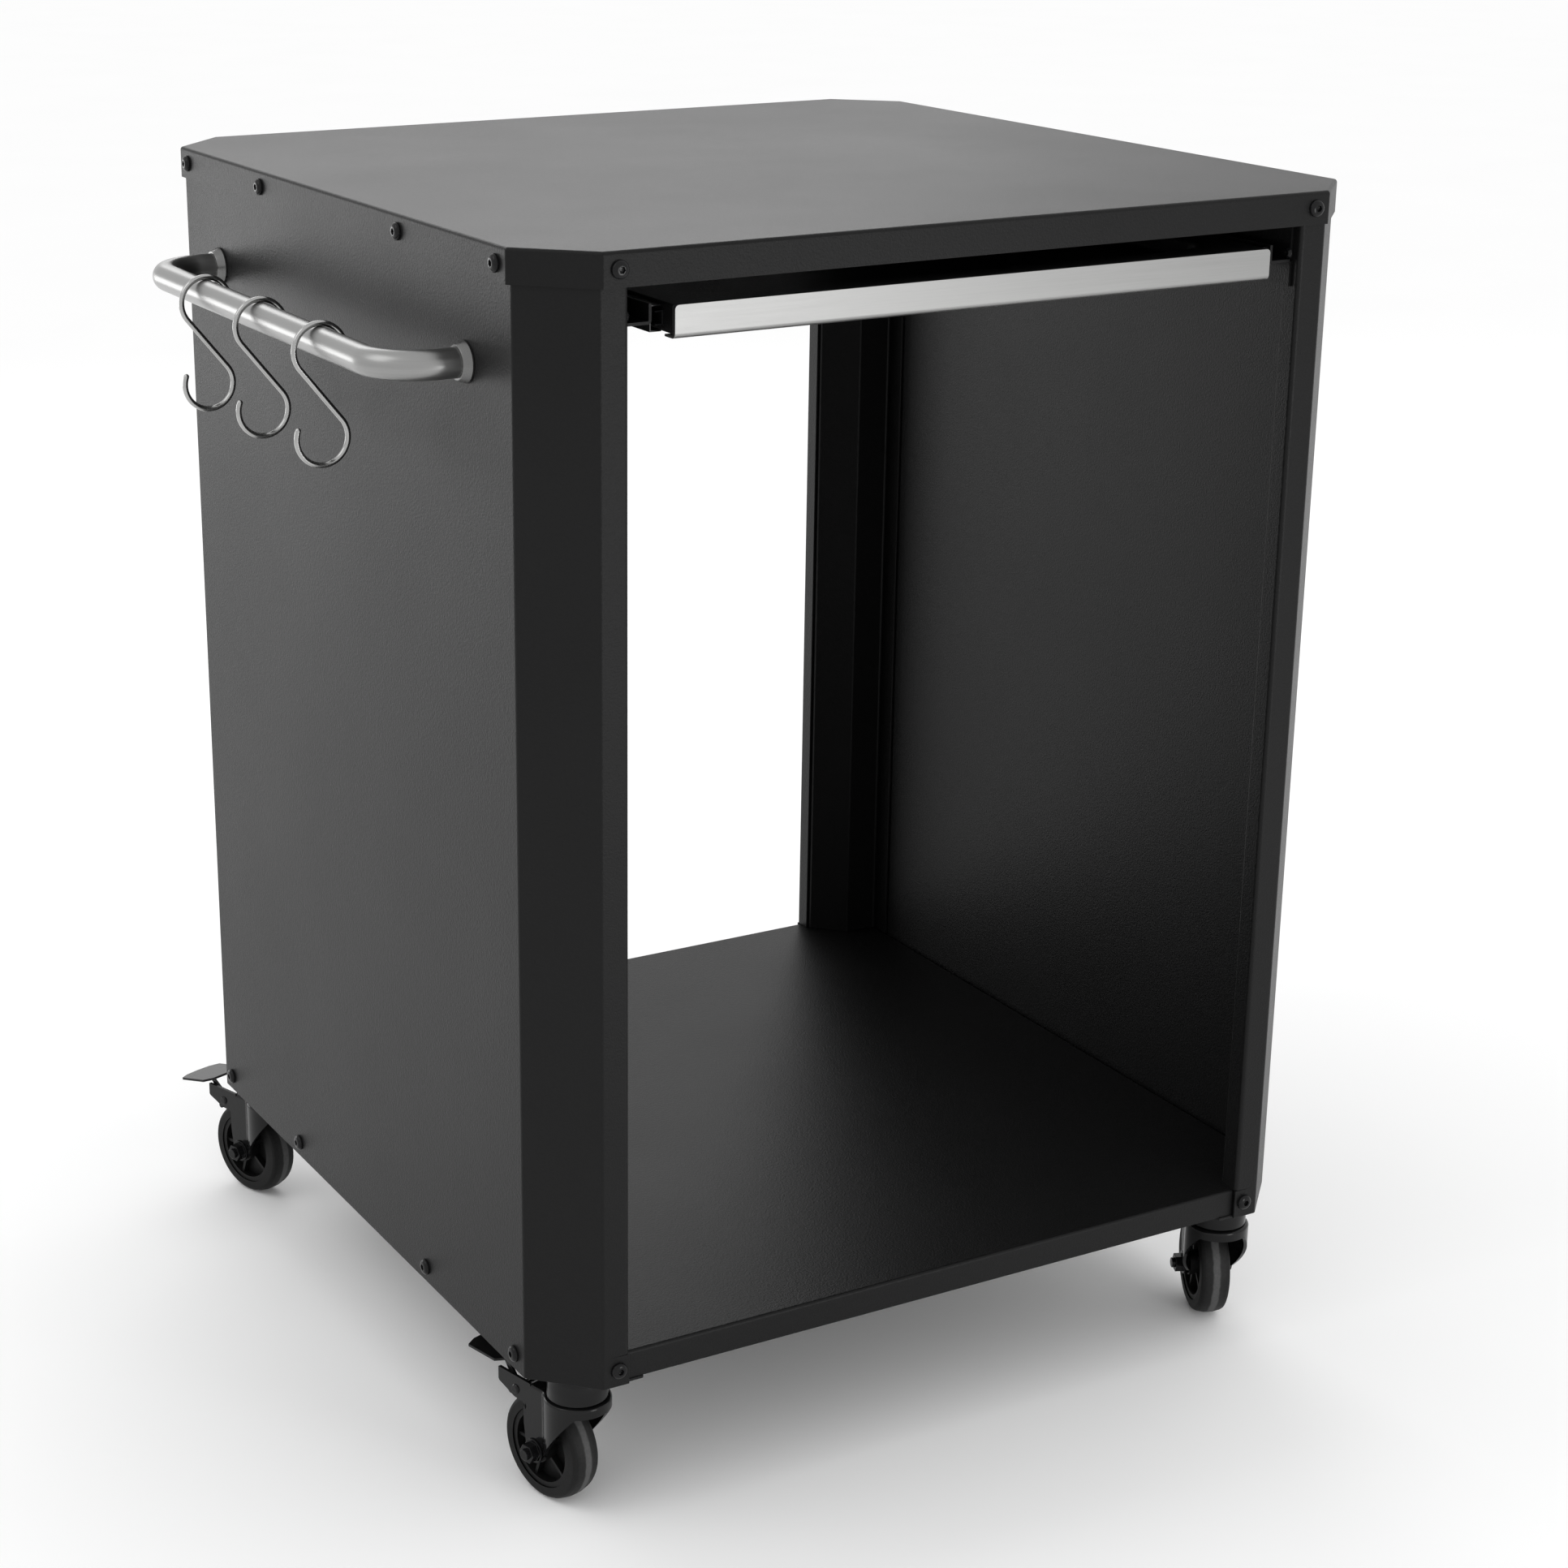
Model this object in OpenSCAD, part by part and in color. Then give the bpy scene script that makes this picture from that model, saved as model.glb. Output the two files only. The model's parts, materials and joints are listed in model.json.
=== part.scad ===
/* [Worktop] */
// Width of the worktop across its side flanges
top_w = 658; // [560:1:800]
// Depth of the worktop across its front and rear flanges
top_d = 654; // [560:1:800]
// Height of the worktop above the floor
cart_h = 900; // [780:1:1000]
// Thickness of the worktop sheet
top_t = 2; // [1.5:0.1:3]
// Height of the flange folded down round the worktop
top_flange_h = 23; // [20:0.5:32]
// Leg of the 45 degree chamfer at each worktop corner
top_chamfer = 44.5; // [40:0.5:60]
// Radius of the relief notch where two flanges meet
relief_r = 0.8; // [0.5:0.1:1.5]

/* [Side panels] */
// Thickness of the folded side panel sheet
skin_t = 2; // [1.5:0.1:2.5]
// Width of the post face beside the open front and rear
post_face_w = 20.5; // [19:0.5:30]
// Depth of the lip folded inward at the edge of a post face
lip_depth = 14; // [10:0.5:16]
// Height of the post foot that covers the shelf edge
foot_h = 23; // [20:0.5:32]

/* [Post stiffeners] */
// Thickness of the stiffener sheet
stiff_t = 2; // [1.5:0.1:2.5]
// Depth of the stiffener from the inside of the post face
stiff_depth = 17; // [16:0.5:24]
// Distance of the stiffener's cross leg from the inside of the post face
stiff_reach = 42; // [38:0.5:60]
// Length of the stiffener flange that lies on the side panel
stiff_flange = 20; // [8:0.5:24]

/* [Shelf] */
// Thickness of the shelf sheet
shelf_t = 2; // [1.5:0.1:3]
// Thickness of the corner plates that carry the casters
plate_t = 2; // [2:0.1:3]
// Length of a corner plate along the front and along the side
plate_leg = 75; // [70:1:120]

/* [Bolts] */
// Diameter of the panel bolts
bolt_d = 6; // [4:0.5:7]
// Diameter of a panel bolt's button head
bolt_head_d = 12; // [10:0.5:15]
// Height of a panel bolt's button head
bolt_head_h = 3.6; // [2.5:0.1:5]
// Thickness of a rivet nut's collar
collar_t = 1.4; // [1:0.1:2]
// Distance of the outer bolts on a side panel from the panel's corner bend
side_bolt_edge = 15; // [10:0.5:40]
// Distance of the bolt on a post face from the post's corner bend
post_bolt_edge = 12; // [8:0.5:12.5]
// Distance of the middle bolts from the middle along a side panel
bolt_y_inner = 121; // [60:1:180]
// Diameter of the screws that hold the drawer channels
screw_d = 4; // [3:0.5:5]

/* [Drawer] */
// Height of the drawer front
drawer_h = 20; // [19:0.5:24]
// Distance from the worktop surface to the top of the drawer
drawer_drop = 36.5; // [34:0.5:60]
// Thickness of the drawer sheet
drawer_t = 1.2; // [0.8:0.1:1.5]
// Thickness of the stainless drawer front
front_t = 1.5; // [1:0.1:2]
// Length of the fold under the drawer front
front_fold = 12; // [8:0.5:20]
// Distance from the worktop's front flange back to the drawer front
front_set = 0.7; // [0:0.1:5]
// Distance from the rear of the tray to the inside of the rear posts
tray_back_gap = 12; // [6:1:60]
// Width of the tray rim beside the recess
rim_w = 23.5; // [20:0.5:40]
// Depth of the tray recess
recess_depth = 14; // [8:0.5:15]
// Radius of the recess corners
recess_r = 40; // [15:1:60]
// Distance that the drawer pulls out
drawer_travel = 400; // [200:10:400]
// Width of the channels between the drawer slides and the post lips
bracket_w = 20; // [18:0.5:50]
// Distance from the underside of the drawer to the floor of the channels above it
bracket_rise = 7; // [3:0.5:7.5]
// Distance from the underside of the drawer to the lower ends of the channel tabs
bracket_drop = 10; // [4:0.5:20]
// Width of the tab that hangs at each end of a channel
bracket_tab = 20; // [18:1:60]
// Thickness of the channel sheet
bracket_t = 2; // [1.5:0.1:2.5]

/* [Drawer slides] */
// Distance from each end of the tray to the end of its slide
slide_margin = 12; // [8:1:40]
// Thickness of a drawer slide
slide_w = 10; // [9.5:0.1:13]
// Height of a drawer slide
slide_h = 17; // [16:0.5:17]
// Thickness of the slide sheet
track_t = 1; // [0.8:0.1:1.2]
// Diameter of the balls in the slides
runner_ball_d = 2.8; // [2.5:0.1:3]
// Thickness of the ball cage sheet
cage_t = 0.6; // [0.4:0.1:0.8]
// Number of balls along each side of a ball cage
cage_balls = 7; // [4:1:10]

/* [Handle] */
// Diameter of the handle tube
bar_d = 20; // [16:0.5:25]
// Wall of the handle tube
bar_wall = 1.5; // [1:0.1:2.5]
// Distance between the centres of the handle's two ends
bar_len = 431; // [320:1:440]
// Distance from the side panel to the middle of the handle tube
bar_out = 54.5; // [52:0.5:75]
// Radius of the handle's bends to the middle of the tube
bar_bend = 36; // [26:1:38]
// Distance from the worktop surface to the middle of the handle tube
bar_drop = 82.5; // [70:0.5:160]
// Length of the threaded insert in each end of the handle
plug_len = 14; // [10:0.5:14]
// Diameter of a handle ferrule where it meets the panel
ferrule_d = 28; // [26:0.5:36]
// Height of a handle ferrule
ferrule_h = 7; // [5:0.5:9]

/* [Hooks] */
// Height of an S hook from top to bottom
hook_h = 100; // [90:1:120]
// Width across a hook's round loops
hook_w = 41; // [36:0.5:46]
// Diameter of the hook wire
wire_d = 4; // [3:0.1:4.5]
// Angle that each loop runs on past its widest point
hook_tip = 27; // [10:1:40]
// Distance between neighbouring hooks along the handle
hook_pitch = 105; // [40:1:110]

/* [Casters] */
// Diameter of the caster wheels
wheel_d = 80; // [70:1:90]
// Width of the caster tyres
tyre_w = 23; // [20:0.5:26]
// Thickness of the tyre on its wheel
tyre_t = 10; // [6:0.5:12]
// Diameter of the wheel bush
bush_d = 12; // [11:0.5:14]
// Diameter of the axle bolt
axle_d = 8; // [6:0.5:9]
// Distance from the swivel axis back to the axle
trail = 28; // [26:0.5:36]
// Distance between the two legs of the fork
fork_gap = 28; // [27:0.5:34]
// Thickness of the fork sheet
fork_t = 2.5; // [2:0.1:3]
// Distance between the tyre and the underside of the swivel head
crown_gap = 9; // [8:0.5:14]
// Diameter of the swivel head
crown_d = 49; // [46:0.5:58]
// Height of the swivel head's turned-down rim
crown_h = 8; // [6:0.5:9]
// Diameter of the balls in the swivel head
ball_d = 4; // [3.5:0.1:5]
// Diameter of the circle that the swivel balls run on
ball_circle_d = 35; // [30:0.5:37]
// Number of balls in each swivel head
ball_count = 18; // [10:1:20]
// Height of the domed cup above the balls
cup_h = 19.4; // [14:0.1:24]
// Diameter of the pin that the fork turns on
king_d = 10; // [8:0.5:12]
// Diameter of the threaded stem above the cup
stem_d = 12; // [10:0.5:12.5]
// Distance from each swivel axis to the inside of the post sheets
caster_inset = 40; // [38:0.5:50]
// Way that the front left wheel trails, turned from the cart's right
trail_front_left = 104; // [0:1:359]
// Way that the rear left wheel trails
trail_rear_left = 109; // [0:1:359]
// Way that the front right wheel trails
trail_front_right = 66; // [0:1:359]
// Way that the rear right wheel trails
trail_rear_right = 75; // [0:1:359]

/* [Brake pedals] */
// Distance from the axle back to the pedal pin
pin_back = 20; // [19:0.5:26]
// Height of the pedal pin above the top of the tyre
pin_rise = 1; // [0:0.1:2]
// Diameter of the pedal pin
pin_d = 4; // [3:0.5:5]
// Length of the fork ears behind the pedal pin
ear_len = 19; // [14:0.5:24]
// Width of the foot plate of a brake pedal
pedal_w = 42; // [36:1:50]
// Length of the foot plate of a brake pedal
pedal_len = 39; // [20:1:42]
// Thickness of the pedal sheet
pedal_t = 2; // [1.5:0.1:2.5]
// Rise of the foot plate above the fork ears
pedal_rise = 6; // [3:0.5:8]
// Angle that a brake pedal goes down
pedal_travel = 14; // [8:1:16]
// How far down the front pedal stands, as a share of its way
pedal_down_front = 0; // [0:0.05:1]
// How far down the rear pedal stands, as a share of its way
pedal_down_rear = 0.9; // [0:0.05:1]
// Radius of the bar that presses on the tyre
shoe_r = 2.5; // [2:0.1:3]

/* [Clearances] */
// Gap between sheets that lie beside each other
sheet_gap = 0.3; // [0.1:0.1:0.6]
// Gap between the slanted sheets at a worktop corner
slant_gap = 0.1; // [0.05:0.05:0.3]
// Radial gap round a bolt in a sheet
hole_gap = 0.2; // [0.1:0.05:0.5]
// Radial running gap of a pin in its bore
run_gap = 0.05; // [0.02:0.01:0.1]
// Gap between a moving piece and what it passes
move_gap = 0.5; // [0.3:0.1:0.8]

/* [Hidden] */
CORNERS = [[-1, -1], [-1, 1], [1, -1], [1, 1]];
CORNER_NAMES = ["front_left", "rear_left", "front_right", "rear_right"];
TRAILS = [trail_front_left, trail_rear_left, trail_front_right, trail_rear_right];
PEDALS_DOWN = [pedal_down_front * pedal_travel, pedal_down_rear * pedal_travel];
$fn = 64;

// How far a cut runs past the faces that it goes through
past = 1;

// Octagon half widths, and how much a chamfer leg shrinks for each millimetre of inset
half_w = top_w / 2;
half_d = top_d / 2;
leg_loss = 2 - sqrt(2);

// The side panel sheet lies inside the worktop flange, spaced by the rivet nut collars
skin_inset = top_t + collar_t;
skin_x = half_w - skin_inset;
skin_y = half_d - skin_inset;
skin_leg = top_chamfer - 2 * skin_inset + (top_t + slant_gap) * sqrt(2);
in_x = skin_x - skin_t;
in_y = skin_y - skin_t;
in_leg = skin_leg - skin_t * leg_loss;
open_x = skin_x - skin_leg - post_face_w;

// Heights of the casters, the shelf and the worktop
wheel_r = wheel_d / 2;
crown_r = crown_d / 2;
crown_z = wheel_d + crown_gap;
crown_top = crown_z + fork_t;
race_gap = ball_d + 2 * run_gap;
cup_z = crown_top + race_gap;
post_z = cup_z + cup_h;
plate_top = post_z + plate_t;
shelf_z = post_z + foot_h;
under_top = cart_h - top_t;
top_flange_z = cart_h - top_flange_h;
bolt_z_top = (top_flange_z + cart_h) / 2;
bolt_z_low = (plate_top + shelf_z) / 2;

// Places of the panel bolts
bolt_x = skin_x - skin_leg - post_bolt_edge;
bolt_y_outer = skin_y - skin_leg - side_bolt_edge;

// Rivet nuts, and the bolts that end inside them
nut_barrel_d = bolt_d + 3;
nut_collar_d = nut_barrel_d + 3;
nut_len = 9;
bolt_len = top_t + collar_t + skin_t + nut_len - 2;

// The shelf lies inside the side panels, spaced by the rivet nut collars
shelf_x = in_x - collar_t;
shelf_y = in_y - collar_t;
shelf_leg = in_leg - 2 * collar_t + sheet_gap * sqrt(2);

// Corner plates: the small cut at each tip and the slant of the inner corner
plate_tip = 8;
plate_slant = 20;

// Drawer and the channels that carry it
bracket_x = open_x - bracket_w;
drawer_x = bracket_x - slide_w;
drawer_top = cart_h - drawer_drop;
drawer_z = drawer_top - drawer_h;
drawer_front_y = front_set - half_d;
tray_y = drawer_front_y + front_t;
tray_z = drawer_z + front_t;
tray_back = in_y - tray_back_gap;
bracket_z = drawer_z + bracket_rise;
bracket_tab_z = drawer_z - bracket_drop;
bracket_top = under_top - 12;
bracket_end = in_y - 6;
bracket_screw_y = in_y - lip_depth / 2 - 1;
bracket_screw_z = bracket_z + bracket_t + screw_d + move_gap;
screw_head_h = screw_d * 0.55;

// Drawer slides: the rail stays, the runner goes with the drawer, the ball cage goes half as far
slide_z = (drawer_top + drawer_z) / 2;
slide_front = tray_y + slide_margin;
slide_len = tray_back - tray_y - 2 * slide_margin;
runner_half = slide_h / 2 - track_t - runner_ball_d - 2 * run_gap;
runner_depth = slide_w * 0.6;
cage_x = slide_w - track_t - 2 * move_gap - cage_t;
cage_leg_x = slide_w * 0.25;
cage_ball_x = slide_w * 0.42;
cage_half = slide_h / 2 - track_t - runner_ball_d / 2 - run_gap;
cage_spare = 10;
cage_len = slide_len - drawer_travel - 2 * cage_spare;
cage_front = slide_front + drawer_travel / 2 + cage_spare;

// Handle and hooks
bar_r = bar_d / 2;
bar_x = -(skin_x + bar_out);
bar_z = cart_h - bar_drop;
bar_y = bar_len / 2;
ferrule_bore = bar_r + hole_gap;
wire_r = wire_d / 2;
loop_r = (hook_w - wire_d) / 2;
loop_apart = hook_h - hook_w;
loop_lean = asin(2 * loop_r / loop_apart);
hook_mid_z = bar_z + bar_r + run_gap + wire_d - hook_h / 2;

// Caster places
caster_x = in_x - caster_inset;
caster_y = in_y - caster_inset;

// Stem, cup and king pin
cup_r = crown_r - 2.5;
cup_edge_h = 2;
skirt_r = (ball_circle_d + ball_d) / 2 + move_gap;
skirt_z = crown_top + move_gap;
neck_r = crown_r * 0.62;
king_head_h = 2.5;
king_head_r = king_d / 2 + 3;
stem_top = shelf_z - shelf_t - 1;

// Wheel
rim_r = wheel_r - tyre_t;
rim_t = 4;
web_t = 6;
rib_t = 2.5;
rib_count = 5;
hub_r = bush_d / 2 + 4;
hub_half = fork_gap / 2 - move_gap;
rim_half = tyre_w / 2 - 1;

// Fork legs in side view
leg_y = fork_gap / 2;
leg_out = leg_y + fork_t;
boss_r = axle_d / 2 + 5;
leg_front = crown_d * 0.37;
leg_rear = trail + 11.5;

// Axle washer, nut and bolt end
axle_across = axle_d * 1.6;
axle_head_h = axle_d * 0.6;
axle_nut_h = axle_d * 0.8;
washer_t = 1.5;
bolt_end = 2.5;

// Pedal pin, fork ears and pedal
pin_x = trail + pin_back;
pin_z = wheel_d + pin_rise;
ear_x = pin_x + ear_len;
ear_low = pin_z - pin_d / 2 - 5;
cheek_y = leg_y - move_gap;
cheek_r = pin_d / 2 + 2.5;
plate_start = 13;
plate_z = crown_top + pedal_rise - pin_z;

// The pedal's bar stops just short of the tyre when the pedal is right down
shoe_angle = 50;
shoe_reach = wheel_r + shoe_r + move_gap;
shoe_down = [shoe_reach * cos(shoe_angle) - pin_back, shoe_reach * sin(shoe_angle) + wheel_r - pin_z];
shoe_x = shoe_down[0] * cos(pedal_travel) - shoe_down[1] * sin(pedal_travel);
shoe_z = shoe_down[0] * sin(pedal_travel) + shoe_down[1] * cos(pedal_travel);

module octagon(x, y, leg) {
    polygon([
        [x, leg - y], [x, y - leg], [x - leg, y], [leg - x, y],
        [-x, y - leg], [-x, leg - y], [leg - x, -y], [x - leg, -y]
    ]);
}

module ring(outer, inner) {
    difference() {
        circle(r = outer);
        circle(r = inner);
    }
}

// A hexagonal prism with its flats a given distance apart
module hex_prism(across, h) {
    cylinder(d = across / cos(30), h = h, $fn = 6);
}

// A hexagon nut with a bore
module hex_nut(across, bore_r, h) {
    difference() {
        hex_prism(across, h);
        translate([0, 0, -past]) cylinder(r = bore_r, h = h + 2 * past);
    }
}

// A button head bolt whose head sits on the plane z = 0 and whose shank points down
module button_bolt(d, head_d, head_h, length) {
    difference() {
        rotate_extrude()
            polygon([
                [0, -length], [d / 2, -length], [d / 2, 0], [head_d / 2, 0], [head_d / 2, head_h * 0.2],
                [head_d * 0.44, head_h * 0.55], [head_d * 0.3, head_h], [0, head_h]
            ]);
        translate([0, 0, head_h - d * 0.35]) hex_prism(d * 0.62, d);
    }
}

// A rivet nut whose collar lies from z = 0 down to the sheet it grips
module rivet_nut() {
    bore_r = bolt_d / 2 + run_gap;
    rotate_extrude()
        polygon([
            [bore_r, 0], [nut_collar_d / 2, 0], [nut_collar_d / 2, -collar_t], [nut_barrel_d / 2, -collar_t],
            [nut_barrel_d / 2, -collar_t - nut_len], [bore_r, -collar_t - nut_len]
        ]);
}

// Places its children at the four bolts of each side and one bolt of each post face.
// The local z axis points out of the cart, and z = 0 lies at the given half width and half depth
module at_panel_bolts(x, y, z) {
    for (side = [-1, 1]) {
        for (place = [-bolt_y_outer, -bolt_y_inner, bolt_y_inner, bolt_y_outer])
            translate([side * x, place, z]) rotate([0, side * 90, 0]) children();
        for (end = [-1, 1])
            translate([side * bolt_x, end * y, z]) rotate([-end * 90, 0, 0]) children();
    }
}

// Mirrors a front right corner shape into the given corner
module in_corner(corner) {
    mirror([corner[0] < 0 ? 1 : 0, 0, 0])
        mirror([0, corner[1] > 0 ? 1 : 0, 0])
            children();
}

// Small notches at the lower edge of the flanges, beside the corner bends
module flange_notches() {
    place = top_chamfer + 2 * relief_r + top_t;
    for (corner = CORNERS)
        translate([0, 0, top_flange_z]) {
            translate([corner[0] * half_w, corner[1] * (half_d - place), 0])
                rotate([0, 90, 0]) cylinder(r = relief_r, h = 4 * top_t, center = true);
            translate([corner[0] * (half_w - place), corner[1] * half_d, 0])
                rotate([90, 0, 0]) cylinder(r = relief_r, h = 4 * top_t, center = true);
        }
}

module worktop() {
    color("dimgray")
    difference() {
        translate([0, 0, top_flange_z]) linear_extrude(top_flange_h) octagon(half_w, half_d, top_chamfer);
        translate([0, 0, top_flange_z - past]) linear_extrude(top_flange_h + past - top_t)
            octagon(half_w - top_t, half_d - top_t, top_chamfer - top_t * leg_loss);
        at_panel_bolts(half_w, half_d, bolt_z_top)
            translate([0, 0, -2 * top_t]) cylinder(r = bolt_d / 2 + hole_gap, h = 3 * top_t);
        flange_notches();
    }
}

module side_panel_outline(side) {
    difference() {
        octagon(skin_x, skin_y, skin_leg);
        octagon(in_x, in_y, in_leg);
        translate([side > 0 ? -skin_x - past : -open_x, -skin_y - past])
            square([skin_x + past + open_x, 2 * (skin_y + past)]);
    }
}

module post_lips(side) {
    for (end = [-1, 1])
        translate([side > 0 ? open_x : -open_x - skin_t, end > 0 ? skin_y - skin_t - lip_depth : -skin_y])
            square([skin_t, skin_t + lip_depth]);
}

module side_panel(side) {
    difference() {
        union() {
            translate([0, 0, post_z]) linear_extrude(under_top - post_z) side_panel_outline(side);
            translate([0, 0, shelf_z]) linear_extrude(under_top - shelf_z) post_lips(side);
        }
        at_panel_bolts(skin_x, skin_y, bolt_z_top)
            translate([0, 0, -2 * skin_t]) cylinder(r = nut_barrel_d / 2 + run_gap, h = 3 * skin_t);
        at_panel_bolts(skin_x, skin_y, bolt_z_low)
            translate([0, 0, -2 * skin_t]) cylinder(r = bolt_d / 2 + hole_gap, h = 3 * skin_t);
        at_bracket_screws()
            cylinder(r = screw_d / 2 + hole_gap, h = 6 * skin_t, center = true);
        if (side < 0)
            at_handle_ends() cylinder(r = bolt_d / 2 + hole_gap, h = 4 * skin_t, center = true);
    }
}

module left_side_panel() {
    color("dimgray") side_panel(-1);
}

module right_side_panel() {
    color("dimgray") side_panel(1);
}

// Plan of the stiffener in the front right post: a leg behind the lip, a slanted leg
// and a cross leg to the side panel, moved inward by the given offset
function stiffener_line(offset) = let (
    lip_x = open_x + skin_t + sheet_gap + offset,
    wall_x = in_x - sheet_gap - offset,
    cross_y = -(in_y - stiff_reach) - offset,
    slant_x = lip_x + stiff_reach - stiff_depth,
    turn = offset * tan(22.5)
) [
    [lip_x, -(in_y - nut_len - 3)],
    [lip_x, -(in_y - stiff_depth) - turn],
    [slant_x, cross_y],
    [wall_x, cross_y]
];

module stiffener_outline() {
    outer = stiffener_line(0);
    inner = stiffener_line(stiff_t);
    flange_end = -(in_y - stiff_reach) + stiff_flange;
    wall_x = in_x - sheet_gap;
    polygon([
        outer[0], outer[1], outer[2],
        [wall_x - stiff_t, outer[3][1]],
        [wall_x - stiff_t, flange_end], [wall_x, flange_end],
        [wall_x, inner[3][1]], inner[2], inner[1], inner[0]
    ]);
}

module stiffener(corner) {
    color("dimgray")
    difference() {
        translate([0, 0, shelf_z + sheet_gap])
            in_corner(corner) linear_extrude(under_top - shelf_z - 2 * sheet_gap) stiffener_outline();
        at_panel_bolts(in_x, in_y, bolt_z_top)
            translate([0, 0, -2 * stiff_t]) cylinder(r = nut_barrel_d / 2 + hole_gap, h = 3 * stiff_t);
    }
}

module shelf() {
    color("dimgray")
    difference() {
        translate([0, 0, plate_top]) linear_extrude(shelf_z - plate_top) octagon(shelf_x, shelf_y, shelf_leg);
        translate([0, 0, plate_top - past]) linear_extrude(shelf_z - plate_top + past - shelf_t)
            octagon(shelf_x - shelf_t, shelf_y - shelf_t, shelf_leg - shelf_t * leg_loss);
        at_panel_bolts(shelf_x, shelf_y, bolt_z_low)
            translate([0, 0, -2 * shelf_t]) cylinder(r = nut_barrel_d / 2 + run_gap, h = 3 * shelf_t);
    }
}

// Plan of the corner plate at the front right
module caster_plate_outline() {
    edge_x = in_x - sheet_gap;
    edge_y = in_y - sheet_gap;
    leg = in_leg - sheet_gap * leg_loss;
    polygon([
        [edge_x - plate_leg, plate_tip - edge_y], [edge_x - plate_leg + plate_tip / 2, -edge_y],
        [edge_x - leg, -edge_y], [edge_x, leg - edge_y],
        [edge_x, plate_leg - edge_y - plate_tip / 2], [edge_x - plate_tip, plate_leg - edge_y],
        [edge_x - plate_leg + plate_slant, plate_leg - edge_y],
        [edge_x - plate_leg, plate_leg - edge_y - plate_slant]
    ]);
}

module caster_plate(corner) {
    color("dimgray")
    difference() {
        translate([0, 0, post_z]) linear_extrude(plate_t) in_corner(corner) caster_plate_outline();
        translate([corner[0] * caster_x, corner[1] * caster_y, post_z - past])
            cylinder(r = stem_d / 2 + hole_gap, h = plate_t + 2 * past);
    }
}

module worktop_bolts() {
    color("black")
    at_panel_bolts(half_w, half_d, bolt_z_top) button_bolt(bolt_d, bolt_head_d, bolt_head_h, bolt_len);
}

module worktop_rivet_nuts() {
    color("silver")
    at_panel_bolts(half_w - top_t, half_d - top_t, bolt_z_top) rivet_nut();
}

module shelf_bolts() {
    color("black")
    at_panel_bolts(skin_x, skin_y, bolt_z_low) button_bolt(bolt_d, bolt_head_d, bolt_head_h, bolt_len);
}

module shelf_rivet_nuts() {
    color("silver")
    at_panel_bolts(in_x, in_y, bolt_z_low) rivet_nut();
}

// Places its children on the two channel screws of each side, pointing out from the drawer
module at_bracket_screws() {
    for (side = [-1, 1], end = [-1, 1])
        translate([side * open_x, end * bracket_screw_y, bracket_screw_z]) rotate([0, side * 90, 0]) children();
}

// A channel along the side of the drawer: its outer web lies on the post lips, with a tab
// down each of them, and its inner web carries the slide
module rail_bracket(side) {
    color("black")
    difference() {
        mirror([side < 0 ? 1 : 0, 0, 0]) {
            translate([0, bracket_end, 0])
                rotate([90, 0, 0])
                    linear_extrude(2 * bracket_end)
                        polygon([
                            [bracket_x, bracket_z], [open_x, bracket_z], [open_x, bracket_top],
                            [open_x - bracket_t, bracket_top],
                            [open_x - bracket_t, bracket_z + bracket_t],
                            [bracket_x + bracket_t, bracket_z + bracket_t],
                            [bracket_x + bracket_t, drawer_top], [bracket_x, drawer_top]
                        ]);
            for (y = [-bracket_end, bracket_end - bracket_tab])
                translate([open_x - bracket_t, y, bracket_tab_z])
                    cube([bracket_t, bracket_tab, bracket_z + bracket_t - bracket_tab_z]);
        }
        at_bracket_screws() cylinder(r = screw_d / 2 + hole_gap, h = 4 * bracket_t, center = true);
    }
}

module left_rail_bracket() {
    rail_bracket(-1);
}

module right_rail_bracket() {
    rail_bracket(1);
}

module bracket_screws() {
    color("silver")
    at_bracket_screws()
        translate([0, 0, -bracket_t])
            rotate([180, 0, 0])
                button_bolt(screw_d, 2 * screw_d, screw_head_h, bracket_t + skin_t + screw_d / 2);
}

// Section of the fixed rail, drawn from the drawer side outward
module slide_rail_section() {
    difference() {
        translate([move_gap + track_t, -slide_h / 2]) square([slide_w - move_gap - track_t, slide_h]);
        translate([0, track_t - slide_h / 2]) square([slide_w - track_t, slide_h - 2 * track_t]);
    }
}

module slide_runner_section() {
    difference() {
        translate([0, -runner_half]) square([runner_depth, 2 * runner_half]);
        translate([track_t, track_t - runner_half]) square([runner_depth, 2 * (runner_half - track_t)]);
    }
}

module ball_cage_section() {
    difference() {
        translate([cage_leg_x, -cage_half - cage_t / 2])
            square([cage_x + cage_t - cage_leg_x, 2 * cage_half + cage_t]);
        translate([cage_leg_x - past, cage_t / 2 - cage_half])
            square([cage_x + past - cage_leg_x, 2 * cage_half - cage_t]);
    }
}

// Turns a section drawn from the drawer side outward into a length along the slide
module along_slide(side, start, length) {
    mirror([side < 0 ? 1 : 0, 0, 0])
        translate([drawer_x, start + length, slide_z])
            rotate([90, 0, 0])
                linear_extrude(length)
                    children();
}

module slide_rail(side) {
    color("silver") along_slide(side, slide_front, slide_len) slide_rail_section();
}

module left_slide_rail() {
    slide_rail(-1);
}

module right_slide_rail() {
    slide_rail(1);
}

module slide_runner(side) {
    color("silver") along_slide(side, slide_front, slide_len) slide_runner_section();
}

module left_slide_runner() {
    slide_runner(-1);
}

module right_slide_runner() {
    slide_runner(1);
}

module ball_cage(side) {
    color("silver")
    union() {
        along_slide(side, cage_front, cage_len) ball_cage_section();
        for (i = [0 : cage_balls - 1], up = [-1, 1])
            translate([
                side * (drawer_x + cage_ball_x),
                cage_front + cage_len * (i + 0.5) / cage_balls,
                slide_z + up * cage_half
            ])
                sphere(d = runner_ball_d, $fn = 32);
    }
}

module left_ball_cage() {
    ball_cage(-1);
}

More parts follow.
